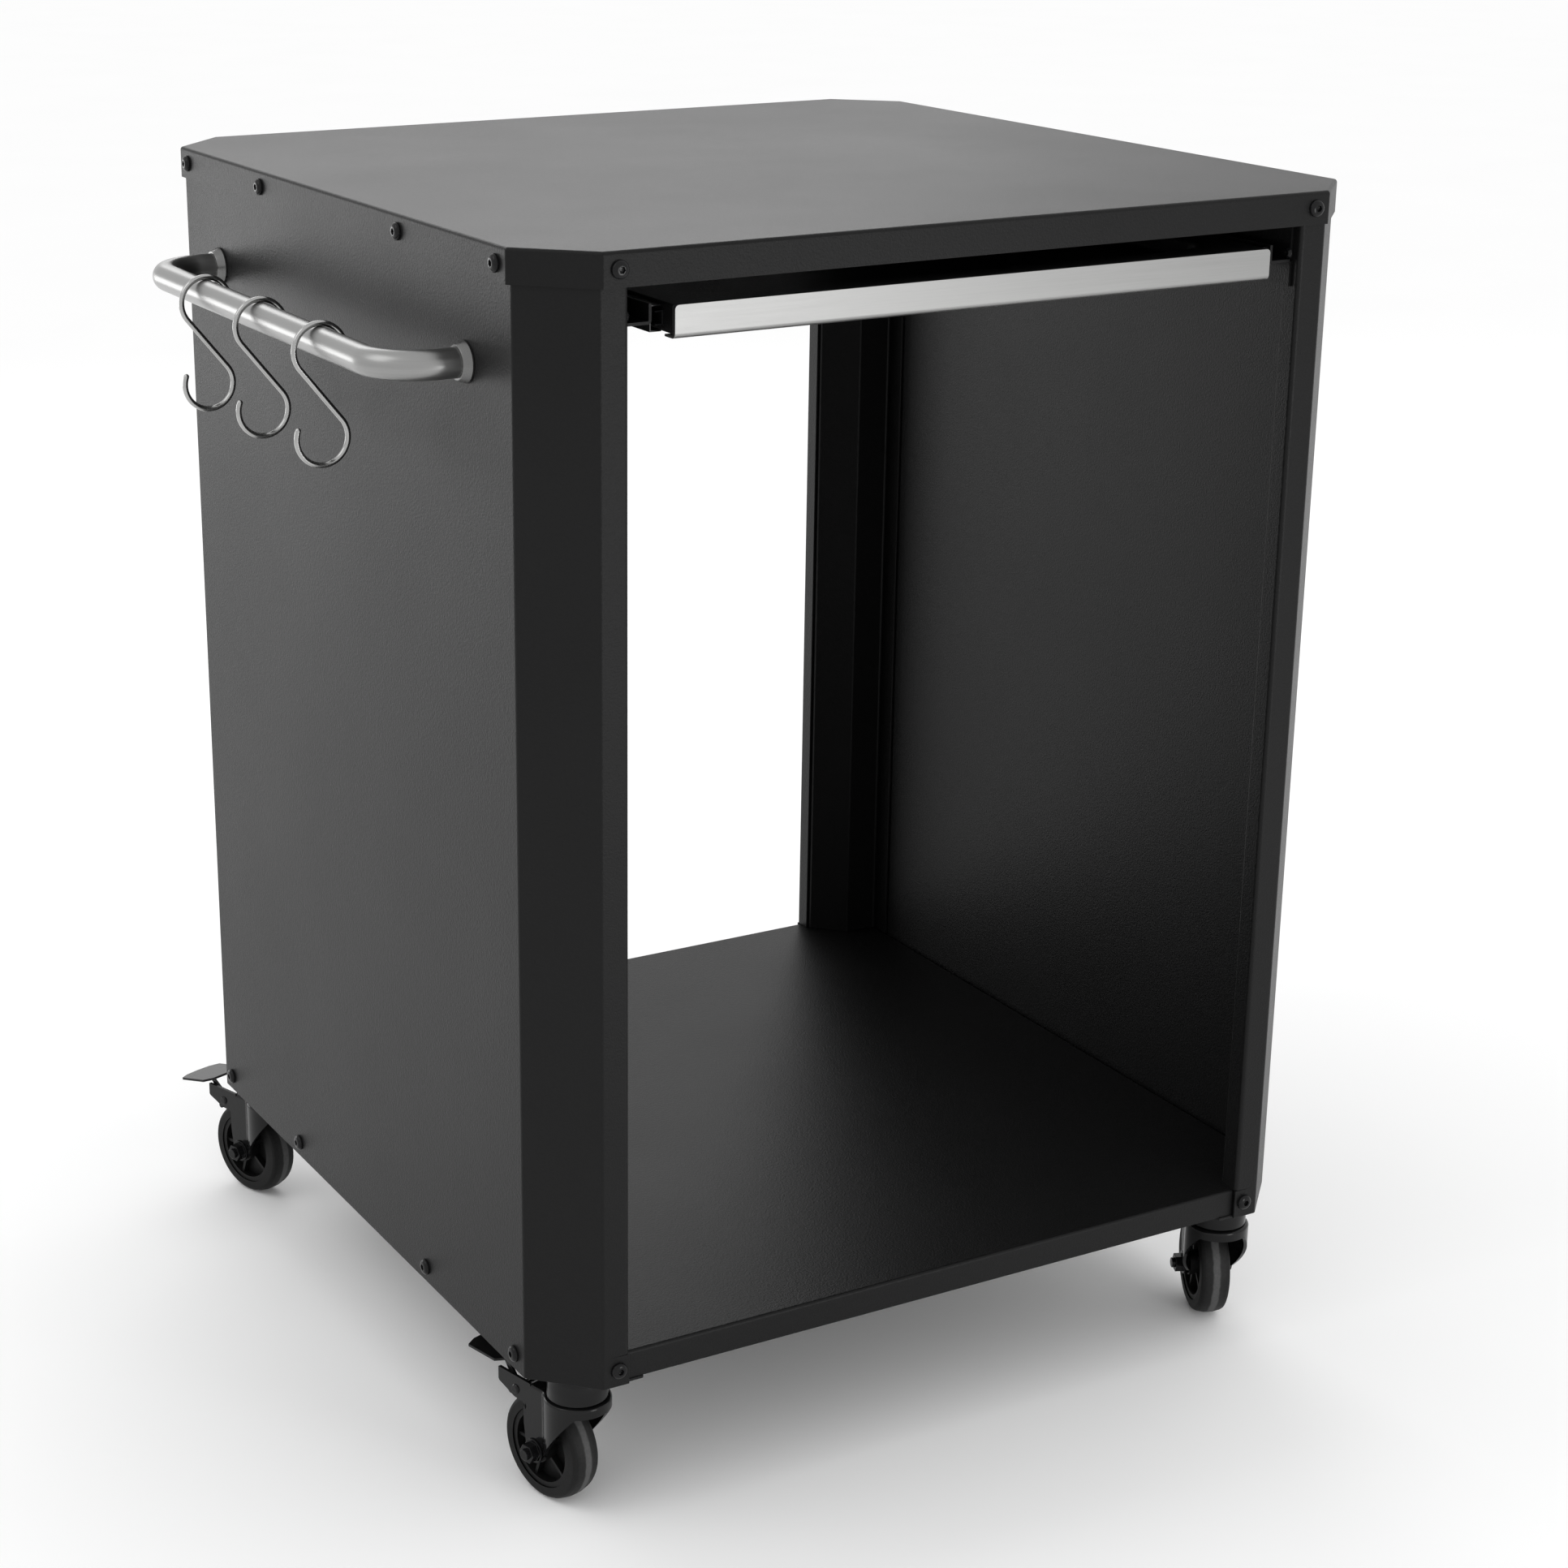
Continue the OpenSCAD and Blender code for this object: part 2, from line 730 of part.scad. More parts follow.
module right_ball_cage() {
    ball_cage(1);
}

module rounded_plan(x0, y0, x1, y1, r) {
    union() {
        translate([x0 + r, y0]) square([x1 - x0 - 2 * r, y1 - y0]);
        translate([x0, y0 + r]) square([x1 - x0, y1 - y0 - 2 * r]);
        for (x = [x0 + r, x1 - r], y = [y0 + r, y1 - r]) translate([x, y]) circle(r = r);
    }
}

// The tray: a rim with sides folded down round it and a pressed recess
module drawer_tray() {
    inner_x = drawer_x - rim_w;
    inner_front = tray_y + rim_w;
    inner_back = tray_back - rim_w;
    floor_z = drawer_top - recess_depth;
    color("black")
    difference() {
        translate([-drawer_x, tray_y, tray_z]) cube([2 * drawer_x, tray_back - tray_y, drawer_top - tray_z]);
        difference() {
            translate([drawer_t - drawer_x, tray_y + drawer_t, tray_z - past])
                cube([
                    2 * (drawer_x - drawer_t), tray_back - tray_y - 2 * drawer_t,
                    drawer_top - tray_z + past - drawer_t
                ]);
            translate([0, 0, floor_z - drawer_t])
                linear_extrude(recess_depth + drawer_t + past)
                    rounded_plan(-inner_x - drawer_t, inner_front - drawer_t,
                        inner_x + drawer_t, inner_back + drawer_t, recess_r + drawer_t);
        }
        translate([0, 0, floor_z])
            linear_extrude(recess_depth + past)
                rounded_plan(-inner_x, inner_front, inner_x, inner_back, recess_r);
    }
}

module drawer_front() {
    color("silver")
    translate([-drawer_x, drawer_front_y, drawer_z])
        rotate([90, 0, 90])
            linear_extrude(2 * drawer_x)
                polygon([
                    [0, 0], [front_fold, 0], [front_fold, front_t],
                    [front_t, front_t], [front_t, drawer_h], [0, drawer_h]
                ]);
}

// Places its children at the handle's two ends on the panel, pointing away from the cart
module at_handle_ends() {
    for (end = [-1, 1])
        translate([-skin_x, end * bar_y, bar_z]) rotate([0, -90, 0]) children();
}

// One bent end of the handle: the bend, the tube's stub and the insert for the screw
module handle_end(bore_r) {
    translate([bar_bend, bar_y - bar_bend, 0])
        rotate([0, 0, 90])
            rotate_extrude(angle = 90)
                translate([bar_bend, 0]) ring(bar_r, bore_r);
    translate([bar_bend, bar_y, 0])
        rotate([0, 90, 0])
            linear_extrude(bar_out - bar_bend - plug_len) ring(bar_r, bore_r);
    translate([bar_out - plug_len, bar_y, 0])
        rotate([0, 90, 0])
            linear_extrude(plug_len) ring(bar_r, bolt_d / 2 + run_gap);
}

module handle_bar() {
    bore_r = bar_r - bar_wall;
    straight = 2 * (bar_y - bar_bend);
    color("silver")
    translate([bar_x, 0, bar_z]) {
        translate([0, -straight / 2, 0]) rotate([-90, 0, 0]) linear_extrude(straight) ring(bar_r, bore_r);
        handle_end(bore_r);
        mirror([0, 1, 0]) handle_end(bore_r);
    }
}

module handle_ferrule(end) {
    color("silver")
    translate([-skin_x, end * bar_y, bar_z])
        rotate([0, -90, 0])
            rotate_extrude()
                polygon([
                    [ferrule_bore, 0], [ferrule_d / 2, 0], [ferrule_d / 2, 1],
                    [ferrule_bore + 1.2, ferrule_h], [ferrule_bore, ferrule_h]
                ]);
}

module front_handle_ferrule() {
    handle_ferrule(-1);
}

module rear_handle_ferrule() {
    handle_ferrule(1);
}

module handle_screws() {
    color("silver")
    at_handle_ends()
        translate([0, 0, -skin_t])
            rotate([180, 0, 0])
                button_bolt(bolt_d, bolt_head_d, bolt_head_h, skin_t + plug_len - 2);
}

// An S hook in its own frame: z up, middle of the hook at the origin, the lower tip towards -x
module hook_shape() {
    straight = 2 * sqrt(pow(loop_apart / 2, 2) - pow(loop_r, 2));
    for (turn = [0, 180])
        rotate([0, turn, 0])
            translate([0, 0, -loop_apart / 2])
                rotate([90, 0, 0])
                    rotate([0, 0, 180 - hook_tip])
                        rotate_extrude(angle = 180 + loop_lean + hook_tip)
                            translate([loop_r, 0]) circle(r = wire_r);
    rotate([0, -loop_lean, 0]) cylinder(r = wire_r, h = straight, center = true);
}

module hook(place) {
    color("silver")
    translate([bar_x, place, hook_mid_z]) hook_shape();
}

module front_hook() {
    hook(-hook_pitch);
}

module middle_hook() {
    hook(0);
}

module rear_hook() {
    hook(hook_pitch);
}

// A caster's own frame: the swivel axis is z, and the wheel trails towards +x
module at_caster(i) {
    translate([CORNERS[i][0] * caster_x, CORNERS[i][1] * caster_y, 0]) rotate([0, 0, TRAILS[i]]) children();
}

// Domed cup on the swivel head with the threaded stem above it and the king pin below it
module caster_stem(i) {
    head_top = crown_z - run_gap;
    color("dimgray")
    at_caster(i)
        rotate_extrude()
            polygon([
                [0, head_top - king_head_h], [king_head_r, head_top - king_head_h], [king_head_r, head_top],
                [king_d / 2, head_top], [king_d / 2, cup_z], [skirt_r, cup_z], [skirt_r, skirt_z],
                [cup_r, skirt_z], [cup_r, cup_z + cup_edge_h],
                [(cup_r + neck_r) / 2 + 1, (cup_z + post_z) / 2], [neck_r, post_z - 1], [neck_r, post_z],
                [stem_d / 2, post_z], [stem_d / 2, stem_top], [0, stem_top]
            ]);
}

module stem_nuts() {
    color("silver")
    for (i = [0 : 3])
        at_caster(i) translate([0, 0, plate_top]) hex_nut(stem_d * 1.5, stem_d / 2 + run_gap, stem_d * 0.8);
}

module swivel_balls() {
    color("silver")
    for (i = [0 : 3], k = [0 : ball_count - 1])
        at_caster(i)
            rotate([0, 0, 360 * k / ball_count])
                translate([ball_circle_d / 2, 0, crown_top + race_gap / 2])
                    sphere(d = ball_d, $fn = 32);
}

// Plan of the fork wall: it follows the swivel head and runs back straight beside the wheel
module fork_wall_plan(end_x) {
    difference() {
        union() {
            circle(r = crown_r);
            translate([0, -leg_out]) square([end_x, 2 * leg_out]);
        }
        circle(r = crown_r - fork_t);
        translate([0, -leg_y]) square([end_x + past, 2 * leg_y]);
    }
}

// Side view of the fork legs: slanted in front, round at the axle, with the ears behind
module fork_side_view(eared) {
    slant = atan2(crown_z - wheel_r, trail + leg_front);
    low = [trail - boss_r * sin(slant), wheel_r - boss_r * cos(slant)];
    union() {
        translate([trail, wheel_r]) circle(r = boss_r);
        polygon(concat(
            [[-leg_front, crown_top], [-leg_front, crown_z - crown_h / 2], low, [trail, wheel_r - boss_r],
                [trail + boss_r, wheel_r], [leg_rear, wheel_r + boss_r * 2]],
            eared
                ? [[leg_rear, ear_low], [pin_x, ear_low], [ear_x, pin_z], [ear_x, crown_top]]
                : [[leg_rear, crown_z - crown_h], [crown_r, crown_top]]
        ));
    }
}

module fork(i) {
    eared = i < 2;
    end_x = eared ? ear_x : leg_rear;
    hood_x = eared ? trail + 4 : crown_r;
    color("dimgray")
    at_caster(i)
        difference() {
            union() {
                translate([0, 0, crown_z]) cylinder(r = crown_r, h = fork_t);
                translate([0, -leg_out, crown_z]) cube([hood_x, 2 * leg_out, fork_t]);
                translate([0, 0, crown_top - crown_h])
                    linear_extrude(crown_h - fork_t) ring(crown_r, crown_r - fork_t);
                intersection() {
                    linear_extrude(crown_top) fork_wall_plan(end_x);
                    translate([0, crown_r + past, 0])
                        rotate([90, 0, 0])
                            linear_extrude(2 * (crown_r + past)) fork_side_view(eared);
                }
            }
            translate([0, 0, crown_z - past]) cylinder(r = king_d / 2 + run_gap, h = fork_t + 2 * past);
            translate([trail, 0, wheel_r])
                rotate([90, 0, 0])
                    cylinder(r = axle_d / 2 + run_gap, h = 2 * (leg_out + past), center = true);
            if (eared)
                translate([pin_x, 0, pin_z])
                    rotate([90, 0, 0])
                        cylinder(r = pin_d / 2 + run_gap, h = 2 * (leg_out + past), center = true);
        }
}

// Axle bolt with its washer and nut, and the bush that the wheel runs on
module axle(i) {
    bore_r = axle_d / 2 + run_gap;
    color("silver")
    at_caster(i)
        translate([trail, 0, wheel_r])
            rotate([-90, 0, 0]) {
                translate([0, 0, -leg_out - axle_head_h]) hex_prism(axle_across, axle_head_h);
                translate([0, 0, -leg_out])
                    cylinder(d = axle_d, h = 2 * leg_out + washer_t + axle_nut_h + bolt_end);
                translate([0, 0, leg_out]) linear_extrude(washer_t) ring(boss_r, bore_r);
                translate([0, 0, leg_out + washer_t]) hex_nut(axle_across, bore_r, axle_nut_h);
                translate([0, 0, run_gap - leg_y])
                    linear_extrude(2 * (leg_y - run_gap)) ring(bush_d / 2, bore_r);
            }
}

// Wheel centre: hub, rim, web and ribs on both faces
module wheel(i) {
    bore_r = bush_d / 2 + run_gap;
    rim_in = rim_r - rim_t;
    color("black")
    at_caster(i)
        translate([trail, 0, wheel_r])
            rotate([90, 0, 0]) {
                rotate_extrude()
                    polygon([
                        [bore_r, -hub_half], [hub_r, -hub_half], [hub_r, -web_t / 2],
                        [rim_in, -web_t / 2], [rim_in, -rim_half], [rim_r, -rim_half],
                        [rim_r, rim_half], [rim_in, rim_half], [rim_in, web_t / 2],
                        [hub_r, web_t / 2], [hub_r, hub_half], [bore_r, hub_half]
                    ]);
                for (k = [0 : rib_count - 1])
                    rotate([0, 0, 360 * k / rib_count])
                        translate([hub_r - 1, -rib_t / 2, 2 - rim_half])
                            cube([rim_in - hub_r + 2, rib_t, 2 * (rim_half - 2)]);
            }
}

module tyre(i) {
    half = tyre_w / 2;
    fall = 1.2;
    shoulder = 3;
    color("gray")
    at_caster(i)
        translate([trail, 0, wheel_r])
            rotate([90, 0, 0])
                rotate_extrude()
                    polygon([
                        [rim_r, -half], [wheel_r - fall - shoulder, -half],
                        [wheel_r - fall - shoulder / 3, shoulder / 3 - half], [wheel_r - fall, shoulder - half],
                        [wheel_r, -half / 4], [wheel_r, half / 4], [wheel_r - fall, half - shoulder],
                        [wheel_r - fall - shoulder / 3, half - shoulder / 3],
                        [wheel_r - fall - shoulder, half], [rim_r, half]
                    ]);
}

// Side view of a pedal cheek, from the pin up to the foot plate and down to the bar
module cheek_side_view() {
    difference() {
        union() {
            circle(r = cheek_r);
            polygon([
                [0, cheek_r], [plate_start, plate_z + pedal_t], [plate_start + 3, plate_z + pedal_t],
                [plate_start + 3, plate_z], [cheek_r, 0], [0, -cheek_r / 2]
            ]);
            polygon([
                [-cheek_r / 2, 0], [shoe_x - shoe_r, shoe_z], [shoe_x, shoe_z],
                [shoe_x + shoe_r, shoe_z], [cheek_r, 0]
            ]);
            translate([shoe_x, shoe_z]) circle(r = shoe_r);
        }
        circle(r = pin_d / 2 + run_gap);
    }
}

// Foot plate, two cheeks on the pin between the fork ears, and the bar that presses on the tyre
module brake_pedal(i) {
    half = pedal_w / 2;
    cut = 5;
    color("dimgray")
    at_caster(i)
        translate([pin_x, 0, pin_z])
            rotate([0, PEDALS_DOWN[i], 0])
                union() {
                    for (side = [-1, 1])
                        translate([0, side > 0 ? cheek_y : pedal_t - cheek_y, 0])
                            rotate([90, 0, 0]) linear_extrude(pedal_t) cheek_side_view();
                    translate([plate_start, 0, plate_z])
                        linear_extrude(pedal_t)
                            polygon([
                                [0, -cheek_y], [cut, -half], [pedal_len - cut, -half],
                                [pedal_len - 1, -half * 0.6], [pedal_len, 0], [pedal_len - 1, half * 0.6],
                                [pedal_len - cut, half], [cut, half], [0, cheek_y]
                            ]);
                    translate([shoe_x, 0, shoe_z])
                        rotate([90, 0, 0]) cylinder(r = shoe_r, h = 2 * cheek_y - pedal_t, center = true);
                }
}

// The pin that the pedal turns on, with a head on each ear
module pedal_pin(i) {
    color("silver")
    at_caster(i)
        translate([pin_x, 0, pin_z])
            rotate([90, 0, 0])
                for (flip = [0, 180])
                    rotate([flip, 0, 0])
                        rotate_extrude()
                            polygon([
                                [0, 0], [pin_d / 2, 0], [pin_d / 2, leg_out], [pin_d, leg_out],
                                [pin_d * 0.7, leg_out + pin_d * 0.4], [0, leg_out + pin_d * 0.4]
                            ]);
}

worktop();
left_side_panel();
right_side_panel();
shelf();
for (i = [0 : 3]) {
    stiffener(CORNERS[i]);
    caster_plate(CORNERS[i]);
    caster_stem(i);
    fork(i);
    axle(i);
    wheel(i);
    tyre(i);
}
for (i = [0 : 1]) {
    brake_pedal(i);
    pedal_pin(i);
}
worktop_bolts();
worktop_rivet_nuts();
shelf_bolts();
shelf_rivet_nuts();
left_rail_bracket();
right_rail_bracket();
bracket_screws();
left_slide_rail();
right_slide_rail();
left_ball_cage();
right_ball_cage();
left_slide_runner();
right_slide_runner();
drawer_tray();
drawer_front();
handle_bar();
front_handle_ferrule();
rear_handle_ferrule();
handle_screws();
front_hook();
middle_hook();
rear_hook();
stem_nuts();
swivel_balls();
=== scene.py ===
import json
from math import acos, asin, atan2, cos, pi, radians, sin, sqrt, tan

import bmesh
import bpy
import numpy as np
from bpy.props import FloatProperty, FloatVectorProperty, IntProperty, PointerProperty
from mathutils import Matrix


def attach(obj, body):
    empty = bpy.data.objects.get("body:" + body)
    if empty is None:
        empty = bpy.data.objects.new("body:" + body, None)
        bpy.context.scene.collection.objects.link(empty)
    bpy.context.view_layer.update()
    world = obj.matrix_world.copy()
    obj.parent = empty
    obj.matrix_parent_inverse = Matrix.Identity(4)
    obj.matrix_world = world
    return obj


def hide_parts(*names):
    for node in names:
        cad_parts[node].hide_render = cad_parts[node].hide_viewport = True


bl_info = {
    "name": "Rolling kitchen cart",
    "version": (1, 0, 0),
    "blender": (4, 5, 0),
    "location": "View3D > Sidebar > Cart",
    "description": "Dresses the solids of a folded sheet cart with rounded bends and finishes",
    "category": "Add Mesh",
}

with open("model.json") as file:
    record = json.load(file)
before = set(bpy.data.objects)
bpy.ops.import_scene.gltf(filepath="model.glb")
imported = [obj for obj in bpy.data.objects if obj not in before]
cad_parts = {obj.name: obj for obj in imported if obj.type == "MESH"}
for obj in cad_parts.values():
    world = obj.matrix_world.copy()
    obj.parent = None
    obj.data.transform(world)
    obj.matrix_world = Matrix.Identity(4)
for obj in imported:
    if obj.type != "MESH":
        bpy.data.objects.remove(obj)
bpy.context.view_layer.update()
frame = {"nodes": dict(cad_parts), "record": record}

# Places and sizes of the solids, in millimetres
TOP_X, TOP_Y, TOP_Z, TOP_LOW, TOP_LEG = 329.0, 327.0, 900.0, 877.0, 44.5
SKIN_X, SKIN_Y, SKIN_LEG = 325.6, 323.6, 40.67
POST_Z, PLATE_TOP, SHELF_Z, UNDER_TOP = 115.0, 117.0, 138.0, 898.0
OPEN_X, LIP_END = 264.43, 307.6
SHELF_X, SHELF_Y, SHELF_LEG = 322.2, 320.2, 37.12
SHEET = 2.0
TRAY_X, TRAY_FRONT, TRAY_BACK, TRAY_LOW, TRAY_TOP = 234.43, -324.8, 309.6, 845.0, 863.5
FRONT_T, FRONT_LOW, FRONT_LIP = 1.5, 843.5, 12.0
CHANNEL_X, CHANNEL_LOW, CHANNEL_TOP, CHANNEL_END = 244.43, 850.5, 886.0, 315.6
TAB_LOW, TAB_WIDE, CHANNEL_BEND = 833.5, 20.0, 2.6
BAR_X, BAR_Y, BAR_Z, BAR_BEND = -380.1, 215.5, 817.5, 36.0
HOOK_Z, HOOK_LOOP, HOOK_APART = 781.55, 18.5, 59.0
SIDE_BOLTS, END_BOLTS = (-267.93, -121, 121, 267.93), (-272.93, 272.93)
TOP_BOLT_Z, FOOT_BOLT_Z = 888.5, 127.5
HOOK_PLACES = {"front": -105.0, "middle": 0.0, "rear": 105.0}
CASTERS = {
    "front_left": (-283.6, -281.6, 104.0),
    "rear_left": (-283.6, 281.6, 109.0),
    "front_right": (283.6, -281.6, 66.0),
    "rear_right": (283.6, 281.6, 75.0),
}
TRAIL, WHEEL_R, CROWN_R, CROWN_TOP, LEG_OUT, RIM_LOW = 28.0, 40.0, 24.5, 91.5, 16.5, 83.5


class CartSizes(bpy.types.PropertyGroup):
    panel_bend: FloatProperty(
        name="Panel bend", description="Outer radius of the bends in the side panels",
        default=0.0034, min=0.0022, max=0.008, subtype="DISTANCE", unit="LENGTH")
    top_bend: FloatProperty(
        name="Worktop bend", description="Outer radius where the worktop turns down into its flange",
        default=0.0026, min=0.0022, max=0.006, subtype="DISTANCE", unit="LENGTH")
    front_bend: FloatProperty(
        name="Drawer front bend", description="Outer radius of the fold under the drawer front",
        default=0.0024, min=0.0016, max=0.005, subtype="DISTANCE", unit="LENGTH")
    recess_fillet: FloatProperty(
        name="Tray fillet", description="Radius where the tray's recess meets its rim and its floor",
        default=0.004, min=0.001, max=0.006, subtype="DISTANCE", unit="LENGTH")
    edge: FloatProperty(
        name="Sheet edge", description="Width of the small rounding on cut sheet edges",
        default=0.00045, min=0.0001, max=0.0009, subtype="DISTANCE", unit="LENGTH")
    tube: FloatProperty(
        name="Handle tube", description="Diameter of the handle",
        default=0.020, min=0.016, max=0.025, subtype="DISTANCE", unit="LENGTH")
    wire: FloatProperty(
        name="Hook wire", description="Diameter of the hook wire",
        default=0.004, min=0.003, max=0.0045, subtype="DISTANCE", unit="LENGTH")
    bend_steps: IntProperty(
        name="Bend steps", description="Number of strips in each rounded bend",
        default=8, min=3, max=16)


class CartColours(bpy.types.PropertyGroup):
    powder: FloatVectorProperty(
        name="Powder coat", description="Colour of the painted sheet", subtype="COLOR",
        default=(0.0056, 0.0056, 0.0057), min=0, max=1)
    gloss: FloatVectorProperty(
        name="Caster paint", description="Colour of the painted caster parts", subtype="COLOR",
        default=(0.0045, 0.0045, 0.0047), min=0, max=1)
    steel: FloatVectorProperty(
        name="Stainless steel", description="Colour of the handle, hooks and drawer front", subtype="COLOR",
        default=(0.42, 0.42, 0.415), min=0, max=1)
    zinc: FloatVectorProperty(
        name="Zinc", description="Colour of the plated steel", subtype="COLOR",
        default=(0.42, 0.43, 0.45), min=0, max=1)
    tread: FloatVectorProperty(
        name="Tread stripe", description="Colour of the stripe round the middle of a tyre", subtype="COLOR",
        default=(0.085, 0.085, 0.085), min=0, max=1)
    floor: FloatVectorProperty(
        name="Floor", description="Colour of the floor", subtype="COLOR",
        default=(0.98, 0.98, 0.98), min=0, max=1)


def sizes():
    return bpy.context.scene.cart_sizes


def colours():
    return bpy.context.scene.cart_colours


def rounded_path(points, radius, closed=False, steps=None):
    """A flat path whose corners are rounded: each corner becomes the arc that touches both of its sides,
    which starts at radius / tan(half the corner's angle) from it."""
    p = np.asarray(points, float)
    n = len(p)
    radii = np.broadcast_to(radius, n)
    steps = steps or sizes().bend_steps
    out = []
    for i in range(n):
        if radii[i] <= 0 or (not closed and i in (0, n - 1)):
            out.append(p[i:i + 1])
            continue
        back, on = p[i - 1] - p[i], p[(i + 1) % n] - p[i]
        back, on = back / np.hypot(*back), on / np.hypot(*on)
        half = acos(np.clip(back @ on, -1, 1)) / 2
        centre = p[i] + (back + on) / np.hypot(*(back + on)) * radii[i] / sin(half)
        start, end = p[i] + back * radii[i] / tan(half) - centre, p[i] + on * radii[i] / tan(half) - centre
        a0 = atan2(start[1], start[0])
        sweep = (atan2(end[1], end[0]) - a0 + pi) % (2 * pi) - pi
        a = a0 + sweep * np.linspace(0, 1, steps + 1)
        out.append(centre + radii[i] * np.stack([np.cos(a), np.sin(a)], 1))
    return np.concatenate(out)


def lengths(points):
    """Distance run along a row of points, from its first point on."""
    return np.concatenate([[0.0], np.cumsum(np.linalg.norm(np.diff(points, axis=0), axis=1))])


class Surface:
    """Points, faces and UVs of one piece, gathered in millimetres from grids and flat caps."""

    def __init__(self):
        self.points, self.faces, self.uvs, self.count = [], [], [], 0

    def grid(self, points, flip=False):
        """Four-sided faces between neighbouring points of a rows x columns grid. Its UVs are the distances
        run along the middle column and along the middle row."""
        points = np.asarray(points, float)
        rows, cols = points.shape[:2]
        u = lengths(points[:, cols // 2])
        v = lengths(points[rows // 2])
        r, c = np.arange(rows - 1)[:, None] * cols, np.arange(cols - 1)[None, :]
        corner = self.count + r + c
        faces = np.stack([corner, corner + 1, corner + cols + 1, corner + cols], -1).reshape(-1, 4)
        self.faces += (faces[:, ::-1] if flip else faces).tolist()
        self.points.append(points.reshape(-1, 3))
        self.uvs.append(np.stack(np.broadcast_arrays(u[:, None], v[None, :]), -1).reshape(-1, 2))
        self.count += rows * cols

    def cap(self, loop, flip=False):
        """One flat face round a loop of points."""
        loop = np.asarray(loop, float)
        n = len(loop)
        order = np.arange(self.count, self.count + n)
        self.faces.append((order[::-1] if flip else order).tolist())
        self.points.append(loop)
        self.uvs.append(loop[:, :2])
        self.count += n

    def moved(self, matrix):
        """Every point times a 3 x 4 matrix."""
        self.points = [p @ matrix[:, :3].T + matrix[:, 3] for p in self.points]
        return self

    def mesh(self, name):
        mesh = bpy.data.meshes.new(name)
        mesh.from_pydata((np.concatenate(self.points) * 0.001).tolist(), [], self.faces)
        layer = mesh.uv_layers.new(name="UVMap")
        corners = np.zeros(len(mesh.loops), np.int32)
        mesh.loops.foreach_get("vertex_index", corners)
        layer.data.foreach_set("uv", (np.concatenate(self.uvs) * 0.001)[corners].ravel())
        tidy = bmesh.new()
        tidy.from_mesh(mesh)
        bmesh.ops.remove_doubles(tidy, verts=tidy.verts, dist=2e-6)
        tidy.to_mesh(mesh)
        tidy.free()
        return mesh


def finished(name, mesh, material, slot, body, nodes, wall=0.0, edge=None, smooth=38, even=True):
    """Turns a mesh into a piece of the cart: smooth where faces meet gently, with a wall and rounded
    edges."""
    piece = bpy.data.objects.new(name, mesh)
    bpy.context.scene.collection.objects.link(piece)
    mesh.shade_smooth()
    mesh.set_sharp_from_angle(angle=radians(smooth))
    mesh.materials.clear()
    mesh.materials.append(material)
    if wall:
        solid = piece.modifiers.new("Wall", "SOLIDIFY")
        solid.thickness, solid.offset, solid.use_even_offset = wall * 0.001, -1.0, even
    if edge:
        bevel = piece.modifiers.new("Edges", "BEVEL")
        bevel.width, bevel.segments, bevel.limit_method = edge, 2, "ANGLE"
        bevel.angle_limit = radians(smooth)
        bevel.miter_outer = "MITER_ARC"
    if wall or edge:
        shading = piece.modifiers.new("Even shading", "WEIGHTED_NORMAL")
        shading.weight, shading.keep_sharp = 80, not edge
    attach(piece, body)
    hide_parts(*nodes)
    return piece


BODY_OF = {n: b for b, members in frame["record"]["behaviour"]["bodies"].items() for n in members}
SLOT_OF = {s["node"]: s["material_slot"] for s in frame["record"]["subparts"]}


def dressed(node, surface, material, **how):
    """A new piece that stands for one solid, on the solid's own body."""
    return finished(
        node + "_piece", surface.mesh(node + "_piece"), material, SLOT_OF[node], BODY_OF[node], [node], **how)


def softened(node, material, edge=0.0003, smooth=35):
    """A merged copy of a solid whose sharp edges are rounded."""
    mesh = bpy.data.meshes.new(node + "_piece")
    shape = bmesh.new()
    shape.from_mesh(frame["nodes"][node].data)
    bmesh.ops.remove_doubles(shape, verts=shape.verts, dist=2e-6)
    bmesh.ops.dissolve_limit(shape, angle_limit=radians(0.4), verts=shape.verts, edges=shape.edges)
    shape.to_mesh(mesh)
    shape.free()
    return finished(
        node + "_piece", mesh, material, SLOT_OF[node], BODY_OF[node], [node], edge=edge, smooth=smooth)


def octagon(x, y, leg, corner, steps=5):
    """A rectangle of half widths x and y with 45 degree corners, each of its eight corners rounded."""
    points = [
        (x, leg - y), (x, y - leg), (x - leg, y), (leg - x, y),
        (-x, y - leg), (-x, leg - y), (leg - x, -y), (x - leg, -y)]
    loop = rounded_path(points, corner, closed=True, steps=steps)
    return np.vstack([loop, loop[:1]])


def pan(x, y, leg, low, top, bend, corner):
    """A sheet with a flange turned down round it: octagons that rise from the flange's lower edge and, over
    a quarter circle of the bend's radius, move inward to the flat top."""
    shrink = 2 - sqrt(2)
    turn = np.linspace(0, pi / 2, sizes().bend_steps + 1)
    inset = np.concatenate([[0.0, 0.0], bend * (1 - np.cos(turn))])
    height = np.concatenate([[low, top - bend - 1.0], top - bend + bend * np.sin(turn)])
    loops = [octagon(x - d, y - d, leg - d * shrink, max(corner - d, 0.15)) for d in inset]
    rows = [np.column_stack([loop, np.full(len(loop), z)]) for loop, z in zip(loops, height)]
    sheet = Surface()
    sheet.grid(rows)
    sheet.cap(rows[-1][:-1])
    return sheet


def strip(path, low, high, flip=False):
    """A flat path carried straight up from one height to another."""
    rows = [np.column_stack([path, np.full(len(path), z)]) for z in (low, high)]
    sheet = Surface()
    sheet.grid(rows, flip)
    return sheet


